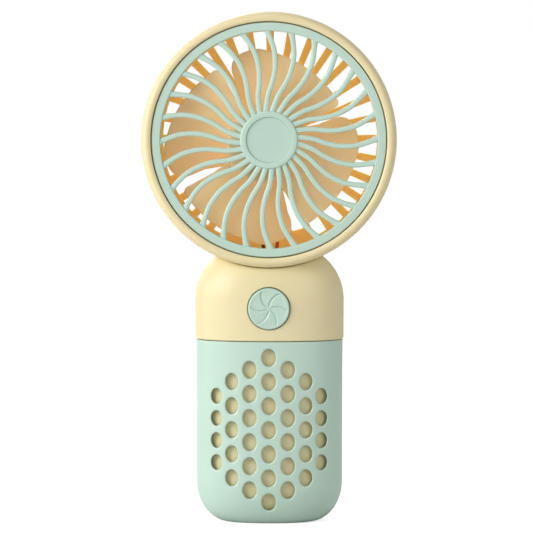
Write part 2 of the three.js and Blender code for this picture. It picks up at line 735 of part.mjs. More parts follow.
// ---- motor, built about its own axis ----
const shaftBack = motorBoardBack + 1;
const bearingBore = shaftRadius + fitGap;
const bearingOuter = bearingBore + bearingWall;
const magnet = ring(magnetInner, magnetOuter, hubFront + 3.4, hubBack - 0.6, 32, 0);
const clip = ring(bearingBore, bearingOuter - 0.1, shaftBack - 1.8, shaftBack - 1.2, 16, 0);
const tube = ring(bearingOuter + fitGap, tubeOuter, coreFront - 0.4, rearPlateFront - fitGap, 20, 0);
add("impeller", impeller(), peachPlastic, motor);
add("rotor_yoke", rotorYoke(), steel, motor);
add("rotor_magnet", magnet, ferrite, motor);
add("motor_shaft", rod(shaftRadius, shaftFront, shaftBack, 0, 0, 16), steel, motor);
add("sleeve_bearing", ring(bearingBore, bearingOuter, coreFront, shaftBack - 2.4, 16, 0), bronze, motor);
add("shaft_clip", clip, blackPlastic, motor);
add("bearing_tube", tube, bronze, motor);
add("stator_core", statorCore(), steel, motor);
for (let i = 0; i < coilCount; i += 1) add(`stator_coil_${i + 1}`, statorCoil(i), copper, motor);
add("motor_board", motorBoard(), boardGreen, motor);
motorScrewPlaces.forEach(([x, z], i) => {
  add(`motor_screw_${i + 1}`, smallScrew(x, z, motorBoardFront - fitGap, 7), steel, motor);
});

const handle = handleBody();
add("handle_front_shell", handleFrontShell(handle), yellowPlastic);
add("handle_rear_shell", handleRearShell(handle), yellowPlastic);
add("lower_sleeve", lowerSleeve(), mintPlastic);
shellScrewPlaces.forEach(([x, z], i) => {
  const face = screwSeat + fitGap + screwHeadHeight;
  add(`shell_screw_${i + 1}`, screw(x, z, face, 1, screwRadius, screwHeadRadius, screwHeadHeight, 16), steel);
});

const switchBack = boardFront - fitGap;
const switchFront = switchBack - switchDepth;
const plungerTip = switchFront - plungerReach;
const half = switchSize / 2;
add("button_cap", buttonCap(plungerTip), mintPlastic);
add("switch_body", cut(
  block(-half, half, switchFront, switchBack, buttonZ - half, buttonZ + half),
  rod(plungerRadius + fitGap, switchFront - 1, switchBack - 0.6, 0, buttonZ, 14),
), blackPlastic);
const plungerEnd = switchBack - 0.6 - buttonTravel - fitGap;
add("switch_plunger", rod(plungerRadius, plungerTip, plungerEnd, 0, buttonZ, 14), blackPlastic);
add("main_board", mainBoard(), boardGreen);
boardScrewPlaces.forEach(([x, z], i) => {
  add(`board_screw_${i + 1}`, smallScrew(x, z, boardFront - fitGap, 6), steel);
});
const partsZ = boardBottom + 4.2;
const chip = block(-10, -5, switchBack - 0.9, switchBack, partsZ - 2.5, partsZ + 2.5);
add("controller_chip", chip, blackPlastic);
add("boost_inductor", rod(2.4, switchBack - 2.4, switchBack, 7.5, partsZ, 12), ferrite);
add("usb_port_shell", portShell(), steel);
const tongue = block(-3.3, 3.3, boardBack + fitGap + 1.3, halfDepth - 1.8, portZ - 0.35, portZ + 0.35);
add("usb_port_tongue", tongue, blackPlastic);
const [ledFront, ledBack] = [boardBack + fitGap, boardBack + 1.1];
add("charge_led", block(-0.8, 0.8, ledFront, ledBack, lightZ - 0.8, lightZ + 0.8), clearPlastic);
add("light_pipe", rod(lightRadius, ledBack + fitGap, halfDepth, 0, lightZ, 14), clearPlastic);

add("battery_cell", batteryCell(), cellWrap);
const pad = new THREE.CylinderGeometry(cellRadius - 1, cellRadius - 1, padThickness, 20);
pad.rotateX(Math.PI / 2).translate(0, 0, cellBottom - fitGap - padThickness / 2);
add("battery_pad", solid(pad), foam);

// Motor leads run from the motor board down behind the impeller and through the neck.
[["red", 1, redSheath], ["black", -1, blackSheath]].forEach(([name, side, sheath]) => {
  const startZ = motorZ - impellerHubRadius + 2;
  add(`motor_lead_${name}`, lead([
    [motorAside + side * 3.6, motorBoardBack + fitGap + 0.1, startZ],
    [motorAside + side * 3.6, motorBoardBack + 2, startZ - 0.2],
    [motorAside + side * 3.6, motorBoardBack + 4, startZ - 5],
    [side * 3, rearPlateFront - 4.5, headCentre - impellerRadius],
    [side * 2, 4, neckFlangeTop + 4],
    [side * 2, 3, neckFlangeBottom - 2],
    [side * 6, boardFront - fitGap - 0.4, boardTop - 2],
  ], 24), sheath);
});
add("battery_lead_red", lead([
  [1.5, 0, cellTop + fitGap + leadRadius],
  [6, 1, cellTop + fitGap + leadRadius + 0.4],
  [10.8, boardFront - 3, boardBottom + 1.4],
  [10.8, boardFront - fitGap - 0.4, boardBottom + 2],
], 12), redSheath);
add("battery_lead_black", lead([
  [-8.8, -3.4, cellBottom - fitGap - leadRadius],
  [-10.5, -4.5, cellBottom + 1],
  [-11, -5, cellBottom + 12],
  [-11, -5, cellTop - 8],
  [-11, boardFront - 3, boardBottom + 1],
  [-11, boardFront - fitGap - 0.4, boardBottom + 1.4],
], 30), blackSheath);

export default fan;
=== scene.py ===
import json
import math

import bmesh
import bpy
import numpy as np
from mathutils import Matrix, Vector


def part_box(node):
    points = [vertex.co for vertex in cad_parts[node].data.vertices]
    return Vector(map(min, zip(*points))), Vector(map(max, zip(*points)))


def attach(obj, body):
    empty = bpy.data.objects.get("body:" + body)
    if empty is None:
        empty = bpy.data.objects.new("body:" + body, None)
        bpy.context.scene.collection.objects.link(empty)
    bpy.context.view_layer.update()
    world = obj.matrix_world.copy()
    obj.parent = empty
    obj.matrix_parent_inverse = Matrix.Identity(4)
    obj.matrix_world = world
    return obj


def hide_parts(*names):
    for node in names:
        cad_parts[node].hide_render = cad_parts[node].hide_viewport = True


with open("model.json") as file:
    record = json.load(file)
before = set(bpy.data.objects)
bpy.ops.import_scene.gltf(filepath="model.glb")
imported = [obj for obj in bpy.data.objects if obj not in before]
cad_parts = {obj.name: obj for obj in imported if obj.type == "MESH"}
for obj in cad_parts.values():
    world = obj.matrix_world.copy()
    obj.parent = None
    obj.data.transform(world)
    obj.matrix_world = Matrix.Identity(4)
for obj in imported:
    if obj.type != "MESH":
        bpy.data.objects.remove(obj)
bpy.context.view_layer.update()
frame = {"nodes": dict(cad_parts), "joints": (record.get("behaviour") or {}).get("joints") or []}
mm = 0.001  # shapes are worked out in millimetres and put into the meshes in metres
gap = 0.3  # between neighbouring pieces


def boxOf(node):
    # lowest and highest corner of a node, in millimetres
    low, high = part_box(node)
    return np.array(low) / mm, np.array(high) / mm


# places that every piece is worked out from
ringLow, ringHigh = boxOf("head_front_ring")
shellLow, shellHigh = boxOf("head_rear_shell")
grilleLow, grilleHigh = boxOf("front_grille")
rearHigh = boxOf("rear_grille")[1]
handleLow, handleHigh = boxOf("handle_front_shell")
buttonLow, buttonHigh = boxOf("button_cap")
bladeLow, bladeHigh = boxOf("impeller")
boardBack = boxOf("motor_board")[1][1]
motorAxis = next(joint["pos_m"] for joint in frame["joints"] if joint["name"] == "rotor_spin")
headRadius = ringHigh[0]
headZ = ringHigh[2] - headRadius
headFront, headBack = ringLow[1], shellHigh[1]
splitY = ringHigh[1] + gap / 2
halfWidth, halfDepth = handleHigh[0], -handleLow[1]
seamZ = boxOf("lower_sleeve")[1][2]
buttonZ = (buttonLow[2] + buttonHigh[2]) / 2
motorX, motorZ = motorAxis[0] / mm, motorAxis[2] / mm


# arrays into meshes
def fullTurn(count):
    # count angles round a circle, in radians
    return np.linspace(0, 2 * np.pi, count, endpoint=False)


def spots(x, y, z):
    # points from x, y and z, each stretched to their common shape
    return np.stack(np.broadcast_arrays(x, y, z), axis=-1)


def lathed(radius, depth, angle, x, z):
    # the points (x + r cos a, y, z + r sin a)
    return spots(x + radius * np.cos(angle), depth, z + radius * np.sin(angle))


def gridFaces(rows, columns, closeRows=False, closeColumns=False):
    # one quad for each cell of a grid whose points are stored row after row
    lastRow, lastColumn = rows - (not closeRows), columns - (not closeColumns)
    i, j = np.meshgrid(np.arange(lastRow), np.arange(lastColumn), indexing="ij")
    i, j = i.ravel(), j.ravel()
    down, across = (i + 1) % rows, (j + 1) % columns
    corners = [i * columns + j, down * columns + j, down * columns + across, i * columns + across]
    return np.stack(corners, axis=1)


def gather(*parts):
    # the parts' points one after another, each part's face numbers moved up by the points before it
    counts = np.cumsum([0] + [len(points) for points, faces in parts])
    faces = [part[1] + start for part, start in zip(parts, counts)]
    return np.concatenate([points for points, _ in parts]), np.concatenate(faces)


def gridPart(grid, closeRows=False, closeColumns=False):
    # a grid of points as one list of points with the faces between them
    rows, columns = grid.shape[:2]
    return grid.reshape(-1, 3), gridFaces(rows, columns, closeRows, closeColumns)


def copiesRound(part, count, x, z, start=0.0):
    # point i turned by start + 360 k / count degrees about the line through x, z along Y
    points, faces = part
    turn = np.radians(start + 360 * np.arange(count) / count)[:, None]
    acrossX, acrossZ = points[:, 0] - x, points[:, 2] - z
    copies = spots(x + acrossX * np.cos(turn) - acrossZ * np.sin(turn), points[:, 1],
                   z + acrossX * np.sin(turn) + acrossZ * np.cos(turn))
    shifted = faces + len(points) * np.arange(count)[:, None, None]
    return copies.reshape(-1, 3), shifted.reshape(-1, 4)


def meshOf(name, part):
    # a mesh in metres with its doubled points merged and its faces turned outward
    points, faces = part
    mesh = bpy.data.meshes.new(name)
    mesh.from_pydata((points * mm).tolist(), [], faces.tolist())
    shape = bmesh.new()
    shape.from_mesh(mesh)
    bmesh.ops.remove_doubles(shape, verts=shape.verts, dist=0.002 * mm)
    bmesh.ops.dissolve_degenerate(shape, edges=shape.edges, dist=0.001 * mm)
    loose = [edge for edge in shape.edges if not edge.link_faces]
    bmesh.ops.delete(shape, geom=loose, context="EDGES")
    bmesh.ops.recalc_face_normals(shape, faces=shape.faces)
    shape.to_mesh(mesh)
    shape.free()
    return mesh


def addObject(name, data):
    item = bpy.data.objects.new(name, data)
    bpy.context.scene.collection.objects.link(item)
    return item


def addPiece(name, part, body, slot, material, stands=(), holes=None, crease=38):
    # makes the object, cuts its holes, smooths it up to the crease angle in degrees, puts it in the frame
    piece = addObject(name, meshOf(name, part))
    if holes is not None:
        cutHoles(piece, holes)
    piece.data.polygons.foreach_set("use_smooth", np.ones(len(piece.data.polygons), dtype=bool))
    piece.data.set_sharp_from_angle(angle=math.radians(crease))
    piece.data.materials.clear()
    piece.data.materials.append(material)
    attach(piece, body)
    if stands:
        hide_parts(*stands)
    print(f"piece {name}: {len(piece.data.polygons)} faces")
    return piece


def cutHoles(piece, holes):
    # takes the cutters out of the piece, then keeps the result as plain mesh
    cutter = addObject(piece.name + "Cutter", meshOf(piece.name + "Cutter", holes))
    cut = piece.modifiers.new("holes", "BOOLEAN")
    cut.operation, cut.solver, cut.object = "DIFFERENCE", "EXACT", cutter
    evaluated = piece.evaluated_get(bpy.context.evaluated_depsgraph_get())
    result = bpy.data.meshes.new_from_object(evaluated)
    piece.modifiers.clear()
    piece.data = result
    bpy.data.objects.remove(cutter)


# profiles and surfaces
def softCorners(points, radii, closed=True, steps=5):
    # each corner p of the outline becomes the curve (1-s)^2 a + 2s(1-s) p + s^2 b, where a and b lie on
    # its two sides, a radius away from it or just under half the side
    points, radii = np.array(points, float), np.broadcast_to(radii, len(points)).astype(float)
    toBefore, toAfter = np.roll(points, 1, axis=0) - points, np.roll(points, -1, axis=0) - points
    if not closed:
        radii = radii.copy()
        radii[[0, -1]] = 0
    lengths = [np.linalg.norm(side, axis=1, keepdims=True) for side in (toBefore, toAfter)]
    reach = [np.minimum(radii[:, None], 0.48 * length) / np.maximum(length, 1e-9) for length in lengths]
    a, b = points + toBefore * reach[0], points + toAfter * reach[1]
    s = np.linspace(0, 1, steps)[None, :, None]
    curve = (1 - s) ** 2 * a[:, None] + 2 * s * (1 - s) * points[:, None] + s ** 2 * b[:, None]
    return curve.reshape(-1, 2)


def turned(profile, segments, x=0.0, z=None, closed=True):
    # a profile of radius r and depth y turned about a line along Y, the head's own axis if z isn't given
    z = headZ if z is None else z
    grid = lathed(profile[:, :1], profile[:, 1:2], fullTurn(segments), x, z)
    return gridPart(grid, closeRows=closed, closeColumns=True)


def boxSection(inner, outer, near, far):
    # the four corners of a ring's section
    return [[inner, near], [outer, near], [outer, far], [inner, far]]


def arc(centreX, centreY, radiusX, radiusY, start, end, steps):
    # points centre + (radiusX cos a, radiusY sin a), a from start to end in degrees
    a = np.radians(np.linspace(start, end, steps))
    return np.stack([centreX + radiusX * np.cos(a), centreY + radiusY * np.sin(a)], axis=1)


def throughPoints(knots, count):
    # a smooth curve through the knots: Catmull-Rom, where the slope at a knot is half the step between
    # its neighbours, and the end knots are their own outer neighbours
    knots = np.array(knots, float)
    place = np.linspace(0, len(knots) - 1, count)
    i = np.minimum(place.astype(int), len(knots) - 2)
    t = (place - i)[:, None]
    p0, p1 = knots[np.maximum(i - 1, 0)], knots[i]
    p2, p3 = knots[i + 1], knots[np.minimum(i + 2, len(knots) - 1)]
    m1, m2 = (p2 - p0) / 2, (p3 - p1) / 2
    return ((2 * t ** 3 - 3 * t ** 2 + 1) * p1 + (t ** 3 - 2 * t ** 2 + t) * m1
            + (-2 * t ** 3 + 3 * t ** 2) * p2 + (t ** 3 - t ** 2) * m2)


def polar(radius, angle):
    # the point radius (cos a, sin a), a in degrees
    angle = np.radians(angle)
    return np.stack([radius * np.cos(angle), radius * np.sin(angle)], axis=-1)


def squared(value, power):
    # sign(v) |v|^(2/power): taken of a cosine and a sine it gives an oval that is squarer as power grows
    return np.sign(value) * np.abs(value) ** (2 / power)


def capped(grid):
    # the grid with its first and last rows closed by a point at their middle
    ends = [np.broadcast_to(row.mean(axis=0), (1,) + row.shape) for row in (grid[0], grid[-1])]
    return gridPart(np.concatenate([ends[0], grid, ends[1]]), closeColumns=True)


def barAlong(line, width, front, thickness, sides=16, squareness=2.8):
    # a bar along a line in X and Z, closed at both ends, its section a squared oval: width/2 |cos a|^(2/n)
    # across and thickness/2 |sin a|^(2/n) in depth
    line, width = np.array(line, float), np.broadcast_to(width, len(line)).astype(float)
    along = np.gradient(line, axis=0)
    along /= np.linalg.norm(along, axis=1, keepdims=True)
    across = np.stack([-along[:, 1], along[:, 0]], axis=1)
    a = fullTurn(sides) + np.pi / sides
    shift = (width[:, None] / 2 * squared(np.cos(a), squareness))[:, :, None] * across[:, None, :]
    flat = line[:, None, :] + shift
    depth = front + thickness / 2 * (1 + squared(np.sin(a), squareness))
    return capped(spots(flat[:, :, 0], depth, headZ + flat[:, :, 1]))


def smoothStep(value):
    # 0 below 0, 1 above 1, and v^2 (3 - 2v) between them
    value = np.clip(value, 0, 1)
    return value * value * (3 - 2 * value)


# the oval of the handle
oval = {"power": 2.3, "domeRadius": 20.8, "domeTuck": 8, "sleeveInside": 0.35, "sleeveTaper": 0.15,
        "cornerWidth": 11.4, "cornerHeight": 15, "wall": 2.0, "bodyInset": 2.6, "turns": 96}
shoulder = halfWidth - oval["domeRadius"]
domeBase = headZ - headRadius + oval["domeTuck"] - oval["domeRadius"]
sleeveSide = halfWidth - oval["sleeveInside"]
footWide = sleeveSide - oval["sleeveTaper"] - oval["cornerWidth"]
flatness = halfDepth / halfWidth


def ovalPoints(wide, height, inset, turn):
    # x = wide cos' t, y = ((wide + inset) depth/width - inset) sin' t, z = height, where cos' and sin'
    # are the squared cosine and sine
    deep = np.where(wide > 1e-6, (wide + inset) * flatness - inset, 0)
    x, y = wide * squared(np.cos(turn), oval["power"]), deep * squared(np.sin(turn), oval["power"])
    return spots(x, y, height)


def upperWide(z):
    # half width of the upper part: straight, then a quarter circle from the dome's foot
    rise = np.clip(z - domeBase, 0, oval["domeRadius"])
    return shoulder + np.sqrt(oval["domeRadius"] ** 2 - rise ** 2)


def lowerWide(z):
    # half width of the sleeve: a quarter ellipse at the foot, then a straight slope up to the seam
    drop = np.clip(1 - z / oval["cornerHeight"], 0, 1)
    corner = footWide + oval["cornerWidth"] * np.sqrt(1 - drop ** 2)
    share = np.clip((z - oval["cornerHeight"]) / (seamZ - oval["cornerHeight"]), 0, 1)
    return corner + oval["sleeveTaper"] * share


def depthAt(x, z, wideAt):
    # |x/wide|^p + |y/deep|^p = 1 solved for y
    wide = wideAt(z)
    return wide * flatness * (1 - np.clip(np.abs(x / wide), 0, 1) ** oval["power"]) ** (1 / oval["power"])


def domeMeets(inset, radius, turn):
    # the dome angle at which the dome, drawn in by inset, meets a cylinder about the head's axis: halved in
    # on, 40 times, between the foot of the dome and its top
    low, high = np.zeros_like(turn), np.full_like(turn, np.pi / 2)
    for _ in range(40):
        middle = (low + high) / 2
        wide = shoulder + (oval["domeRadius"] - inset) * np.cos(middle)
        x = wide * squared(np.cos(turn), oval["power"])
        z = domeBase + (oval["domeRadius"] - inset) * np.sin(middle)
        outside = x ** 2 + (z - headZ) ** 2 > radius ** 2
        low, high = np.where(outside, middle, low), np.where(outside, high, middle)
    return low


def domeRows(inset, radius, turn, rows):
    # the oval at equal steps of the dome's angle, from just above its foot to where it meets the cylinder
    share = np.linspace(0, 1, rows + 1)[1:, None]
    rise = share * domeMeets(inset, radius, turn)
    reach = oval["domeRadius"] - inset
    wide, height = shoulder + reach * np.cos(rise), domeBase + reach * np.sin(rise)
    return ovalPoints(wide, height, inset, turn)


def saddleRows(edge, radius, shares):
    # the edge drawn in towards the middle and lifted onto the cylinder: z = head centre - sqrt(r^2 - x^2)
    x, y = shares[:, None] * edge[None, :, 0], shares[:, None] * edge[None, :, 1]
    return spots(x, y, headZ - np.sqrt(radius ** 2 - x ** 2))


def lowerPath(inset, top, rows=40, cornerRows=14):
    # half width and height from the edge of the flat foot, round its corner, and up the straight side
    corner = arc(footWide, oval["cornerHeight"], oval["cornerWidth"] - inset,
                 oval["cornerHeight"] - inset, -90, 0, cornerRows)
    share = np.linspace(0, 1, rows)[1:, None]
    side = (1 - share) * corner[-1] + share * np.array([sleeveSide - inset, top])
    return np.concatenate([corner, side])


def rowsOf(path, inset, turn):
    # the oval at every height of the path, after the flat foot: the first oval shrunk to its middle
    rows = ovalPoints(path[:, :1], path[:, 1:], inset, turn[None, :])
    shares = np.linspace(0, 1, 6)[:-1, None, None]
    return np.concatenate([rows[:1] * [1, 1, 0] * shares + rows[:1] * [0, 0, 1], rows])


def wallPart(outer, inner, closeColumns=False):
    # outer and inner skins of the same rows and columns, joined along their free edges
    rows, columns = outer.shape[:2]
    count = rows * columns
    cells = gridFaces(rows, columns, closeColumns=closeColumns)
    place = np.arange(count).reshape(rows, columns)
    edges = [place[0], place[-1]] if closeColumns else [place[0], place[-1], place[:, 0], place[:, -1]]
    if closeColumns:
        edges = [np.append(edge, edge[0]) for edge in edges]
    strips = [np.stack([e[:-1], e[1:], e[1:] + count, e[:-1] + count], axis=1) for e in edges]
    points = np.concatenate([outer.reshape(-1, 3), inner.reshape(-1, 3)])
    return points, np.concatenate([cells, cells + count] + strips)


def holeCutter(x, z, halfX, halfZ, wideAt, side, straight=0.0, lip=0.45, through=4.0, count=36):
    # a cutter whose mouth flares onto the surface: ring k is the oval x + straight sign(cos a) +
    # (halfX + e_k) cos a, z + (halfZ + e_k) sin a, at the surface's depth there less d_k
    a = fullTurn(count) + np.pi / count
    outset = lip * np.array([1.2, 1.2, 1.0, 0.5, 0.13, 0.0, 0.0])[:, None]
    inwards = np.array([-3.0, -0.2, 0.0, 0.13 * lip, 0.5 * lip, lip, through])[:, None]
    px = x + straight * np.sign(np.cos(a)) + (halfX + outset) * np.cos(a)
    pz = z + (halfZ + outset) * np.sin(a)
    py = side * (depthAt(px, pz, wideAt) - inwards)
    return capped(spots(px, py, pz))


# materials
def linear(hexColour):
    # a screen colour as the linear red, green, blue and alpha that a socket takes
    parts = np.array([int(hexColour[i:i + 2], 16) for i in (1, 3, 5)]) / 255
    return tuple(np.where(parts <= 0.04045, parts / 12.92, ((parts + 0.055) / 1.055) ** 2.4)) + (1.0,)


def freshMaterial(name):
    # a material with its shader, and the object coordinates that its patterns read
    material = bpy.data.materials.new(name)
    material.use_nodes = True
    nodes = material.node_tree.nodes
    return material, nodes["Principled BSDF"], nodes.new("ShaderNodeTexCoord").outputs["Object"]


def setInputs(node, values):
    # constants on the node's own inputs
    for name, value in values.items():
        node.inputs[name].default_value = value


def feed(output, node, name):
    # an output linked to the named input of a node
    node.id_data.links.new(output, node.inputs[name])


def nodeAfter(output, kind, name, values):
    # a new node that takes the output as its named input, with constants on its others
    node = output.id_data.nodes.new(kind)
    setInputs(node, values)
    feed(output, node, name)
    return node


def noiseFrom(place, size, detail=2.0, stretch=(1, 1, 1)):
    # soft noise whose lumps are about size millimetres, stretched along an axis where stretch is below 1
    mapping = nodeAfter(place, "ShaderNodeMapping", "Vector", {"Scale": stretch})
    noise = nodeAfter(mapping.outputs["Vector"], "ShaderNodeTexNoise", "Vector",
                      {"Scale": 1 / (size * mm), "Detail": detail})
    return noise.outputs["Fac"]


def colourFrom(factor, shader, first, second, low=0.3, high=0.7):
    # the first colour where the factor is low, the second where it is high
    ramp = nodeAfter(factor, "ShaderNodeValToRGB", "Fac", {})
    start, end = ramp.color_ramp.elements
    start.position, start.color = low, linear(first)
    end.position, end.color = high, linear(second)
    feed(ramp.outputs["Color"], shader, "Base Color")


def roughnessFrom(noise, shader, low, high):
    # noise, which stays near 0.3 to 0.7, spread over low to high
    spread = nodeAfter(noise, "ShaderNodeMapRange", "Value",
                       {"From Min": 0.3, "From Max": 0.7, "To Min": low, "To Max": high})
    feed(spread.outputs["Result"], shader, "Roughness")


def reliefFrom(height, shader, strength, distance):
    # a bump on the shader's normal, its depth in millimetres
    bump = nodeAfter(height, "ShaderNodeBump", "Height", {"Strength": strength, "Distance": distance * mm})
    feed(bump.outputs["Normal"], shader, "Normal")


def mouldedPlastic(name, look):
    # satin moulding: broad faint clouds in the colour, fine grain from the mould in bump and roughness
    material, shader, place = freshMaterial(name)
    grain = noiseFrom(place, look["grainSize"], 3)
    reliefFrom(grain, shader, look["grainStrength"], 0.05)
    colourFrom(noiseFrom(place, look["cloudSize"], 3), shader, look["colour"], look["cloud"])
    roughnessFrom(grain, shader, look["roughness"] - look["spread"], look["roughness"] + look["spread"])
    # the emission is painted glow: the plastic shines by itself in place of light passed on through its thin
    # wall
    setInputs(shader, {
        "Specular IOR Level": look["gloss"], "Subsurface Weight": look["glow"],
        "Subsurface Radius": look["glowRadius"], "Subsurface Scale": look["glowDepth"] * mm,
        "Emission Color": linear(look["paintedGlowTint"]), "Emission Strength": look["paintedGlow"]})
    return material


def workedMetal(name, look):
    # drawn or turned metal: streaks along one axis in colour, roughness and bump
    material, shader, place = freshMaterial(name)
    streaks = noiseFrom(place, look["streakSize"], 4, look["stretch"])
    reliefFrom(streaks, shader, 0.15, 0.02)
    colourFrom(streaks, shader, look["colour"], look["streak"])
    roughnessFrom(streaks, shader, look["roughness"] - look["spread"], look["roughness"] + look["spread"])
    setInputs(shader, {"Metallic": look["metal"]})
    return material


def woundWire(name, look):
    # enamelled wire laid side by side: bands across Y in bump, and in colour darker between the wires,
    # painted shade in the creases
    material, shader, place = freshMaterial(name)
    scale = 1 / (look["wire"] * mm) / 3.1  # the node draws about 3.1 bands for each unit of scale
    wires = nodeAfter(place, "ShaderNodeTexWave", "Vector", {"Scale": scale, "Distortion": 0.6})
    wires.bands_direction = "Y"
    reliefFrom(wires.outputs["Fac"], shader, 1.0, 0.1)
    colourFrom(wires.outputs["Fac"], shader, look["groove"], look["colour"], 0.1, 0.8)
    setInputs(shader, {"Metallic": 0.9, "Roughness": look["roughness"]})
    return material


def printedBoard(name, look):
    # green lacquer over copper tracks: thin straight cells, lighter where the copper runs under the lacquer
    material, shader, place = freshMaterial(name)
    cells = nodeAfter(place, "ShaderNodeTexVoronoi", "Vector", {"Scale": 1 / (look["cell"] * mm)})
    cells.distance, cells.feature = "MANHATTAN", "DISTANCE_TO_EDGE"
    colourFrom(cells.outputs["Distance"], shader, look["track"], look["colour"], 0.05, 0.12)
    roughnessFrom(noiseFrom(place, 0.3), shader, 0.3, 0.45)
    return material


def openFoam(name, look):
    # round pores a fraction of a millimetre across, lower than the skeleton between them and darker with
    # painted shade
    material, shader, place = freshMaterial(name)
    cells = nodeAfter(place, "ShaderNodeTexVoronoi", "Vector", {"Scale": 1 / (look["cell"] * mm)})
    reliefFrom(cells.outputs["Distance"], shader, 1.0, 0.2)
    colourFrom(cells.outputs["Distance"], shader, look["hole"], look["colour"], 0.1, 0.6)
    setInputs(shader, {"Roughness": 0.95})
    return material


# glow is how much light goes into the wall, glowDepth how far in millimetres; the emission strength and tint
# are a painted glow standing in for the light a thin translucent wall passes on from all round it; each
# plastic names what differs from the plain one
plainPlastic = {"roughness": 0.45, "spread": 0.05, "gloss": 0.5, "grainSize": 0.3, "grainStrength": 0.2,
                "glow": 0.0, "glowRadius": (1.0, 0.6, 0.3), "glowDepth": 1.5,
                "paintedGlow": 0.0, "paintedGlowTint": "#ffffff"}
plasticLooks = {
    "mint": {"colour": "#c2dbcd", "cloud": "#bed8c9", "cloudSize": 45, "roughness": 0.33, "glow": 0.08,
             "grainSize": 0.35, "grainStrength": 0.12},
    "butter": {"colour": "#ebddb2", "cloud": "#e9daac", "cloudSize": 50, "roughness": 0.4, "gloss": 0.45,
               "glow": 0.3, "glowRadius": (1.0, 0.5, 0.18), "glowDepth": 3,
               "grainSize": 0.35, "grainStrength": 0.12},
    # painted shade: the head's own yellow plastic made deeper and more orange, as light bounced about inside
    # the yellow head makes it look
    "shadedYellow": {"colour": "#ffd57f", "cloud": "#fdcf74", "cloudSize": 30, "roughness": 0.4, "gloss": 0.4,
              "glow": 0.75, "glowRadius": (1.0, 0.62, 0.3), "glowDepth": 5,
              "paintedGlow": 0.11, "paintedGlowTint": "#ffdf90", "grainSize": 0.35, "grainStrength": 0.1},
    "peach": {"colour": "#ffdab3", "cloud": "#fdd5a9", "cloudSize": 30, "roughness": 0.38, "gloss": 0.45,
              "glow": 0.7, "glowRadius": (1.0, 0.7, 0.4), "glowDepth": 4,
              "paintedGlow": 0.115, "paintedGlowTint": "#ffcf94", "grainStrength": 0.08},
    "black": {"colour": "#1d1d1f", "cloud": "#242427", "cloudSize": 10, "roughness": 0.5},
    "clear": {"colour": "#eef4f6", "cloud": "#e6eff2", "cloudSize": 5, "roughness": 0.2, "glow": 0.3,
              "grainSize": 0.5, "grainStrength": 0.05},
    "cellWrap": {"colour": "#4f86b8", "cloud": "#4a80b2", "cloudSize": 20, "roughness": 0.3,
                 "grainSize": 1.5, "grainStrength": 0.1},
    "redSheath": {"colour": "#c0653c", "cloud": "#b85f37", "cloudSize": 6, "glow": 0.05, "grainSize": 0.2},
    "blackSheath": {"colour": "#4a3a28", "cloud": "#52412d", "cloudSize": 6, "grainSize": 0.2},
}
plastics = {name: mouldedPlastic(name + "Plastic", {**plainPlastic, **look})
            for name, look in plasticLooks.items()}
plainMetal = {"spread": 0.08, "metal": 1.0, "stretch": (1, 1, 1)}
metalLooks = {
    "steel": {"colour": "#b4b8bd", "streak": "#cfd2d6", "streakSize": 0.4, "roughness": 0.3,
              "stretch": (1, 0.1, 1)},
    "bronze": {"colour": "#a87c40", "streak": "#bd9150", "streakSize": 0.3, "roughness": 0.45},
    "ferrite": {"colour": "#353538", "streak": "#434347", "streakSize": 0.5, "roughness": 0.6, "metal": 0.2},
}
metals = {name: workedMetal(name + "Metal", {**plainMetal, **look}) for name, look in metalLooks.items()}
# the groove colour is painted shade between the wire turns
copperWire = woundWire("copperWire", {"colour": "#c9783f", "groove": "#7c4320", "wire": 0.25,
                                      "roughness": 0.35})
greenBoard = printedBoard("greenBoard", {"colour": "#2c6743", "track": "#4c8a5c", "cell": 1.4})
greyFoam = openFoam("greyFoam", {"colour": "#646467", "hole": "#3c3c3e", "cell": 0.5})
butterPart = ("housing", "yellow_plastic", plastics["butter"])
mintPart = ("housing", "mint_plastic", plastics["mint"])
print("materials made")

# head
bezel = {"wall": 2.2, "width": 3.6, "rise": 3.6, "outerReach": 2.3, "innerDrop": 0.8, "seam": 0.33,
         "ledge": 1.6, "segments": 224, "edge": 0.25}
grilleBack = grilleHigh[1]
grilleRadius = grilleHigh[0]
grilleBore = grilleRadius + bezel["seam"]


def buildBezel():
    inset = bezel["width"] - bezel["outerReach"]
    crest, seat = headRadius - bezel["outerReach"], grilleBack + gap
    wallInner, ledge = headRadius - bezel["wall"], grilleBore - bezel["ledge"]
    outside = arc(crest, headFront + bezel["rise"], bezel["outerReach"], bezel["rise"], 0, -90, 14)
    inside = arc(crest, headFront + bezel["innerDrop"], inset, bezel["innerDrop"], -90, -180, 9)[1:]
    corners = [[grilleBore, seat], [ledge, seat], [ledge, seat + bezel["ledge"]],
               [wallInner, seat + bezel["ledge"]], [wallInner, splitY - gap / 2],
               [headRadius, splitY - gap / 2]]
    outline = np.concatenate([outside, inside, corners])
    radii = np.concatenate([np.zeros(len(outside) + len(inside)), [0, 0.1, 0.2, 0.2, 0.2, bezel["edge"]]])
    return turned(softCorners(outline, radii), bezel["segments"])


addPiece("head_bezel", buildBezel(), *butterPart, ["head_front_ring"])

rear = {"lipReach": 2.0, "lip": 1.5, "rounding": 6.5, "roundingTurn": 84, "plate": 3.0, "mouthEdge": 0.1,
        "pocketStep": 1.0, "wallStep": 3.0, "lipFoot": 2.0, "segments": 224, "edge": 0.25,
        "neckHalf": 12.0, "neckFlange": 4.0, "flangeHeight": 2.6, "flangeEdge": 0.4, "neckFillet": 0.6,
        "neckClear": 2.0, "neckFrontBehindSplit": 1.0, "neckBackShare": 0.53, "neckPower": 2 / 0.3}
rearPlateBack = rearHigh[1]
rearRadius = rearHigh[0]
neckBack = rear["neckBackShare"] * halfDepth
neckFront = splitY + rear["neckFrontBehindSplit"]
neckFoot = shellLow[2]
neckFlangeTop = neckFoot + rear["flangeHeight"]


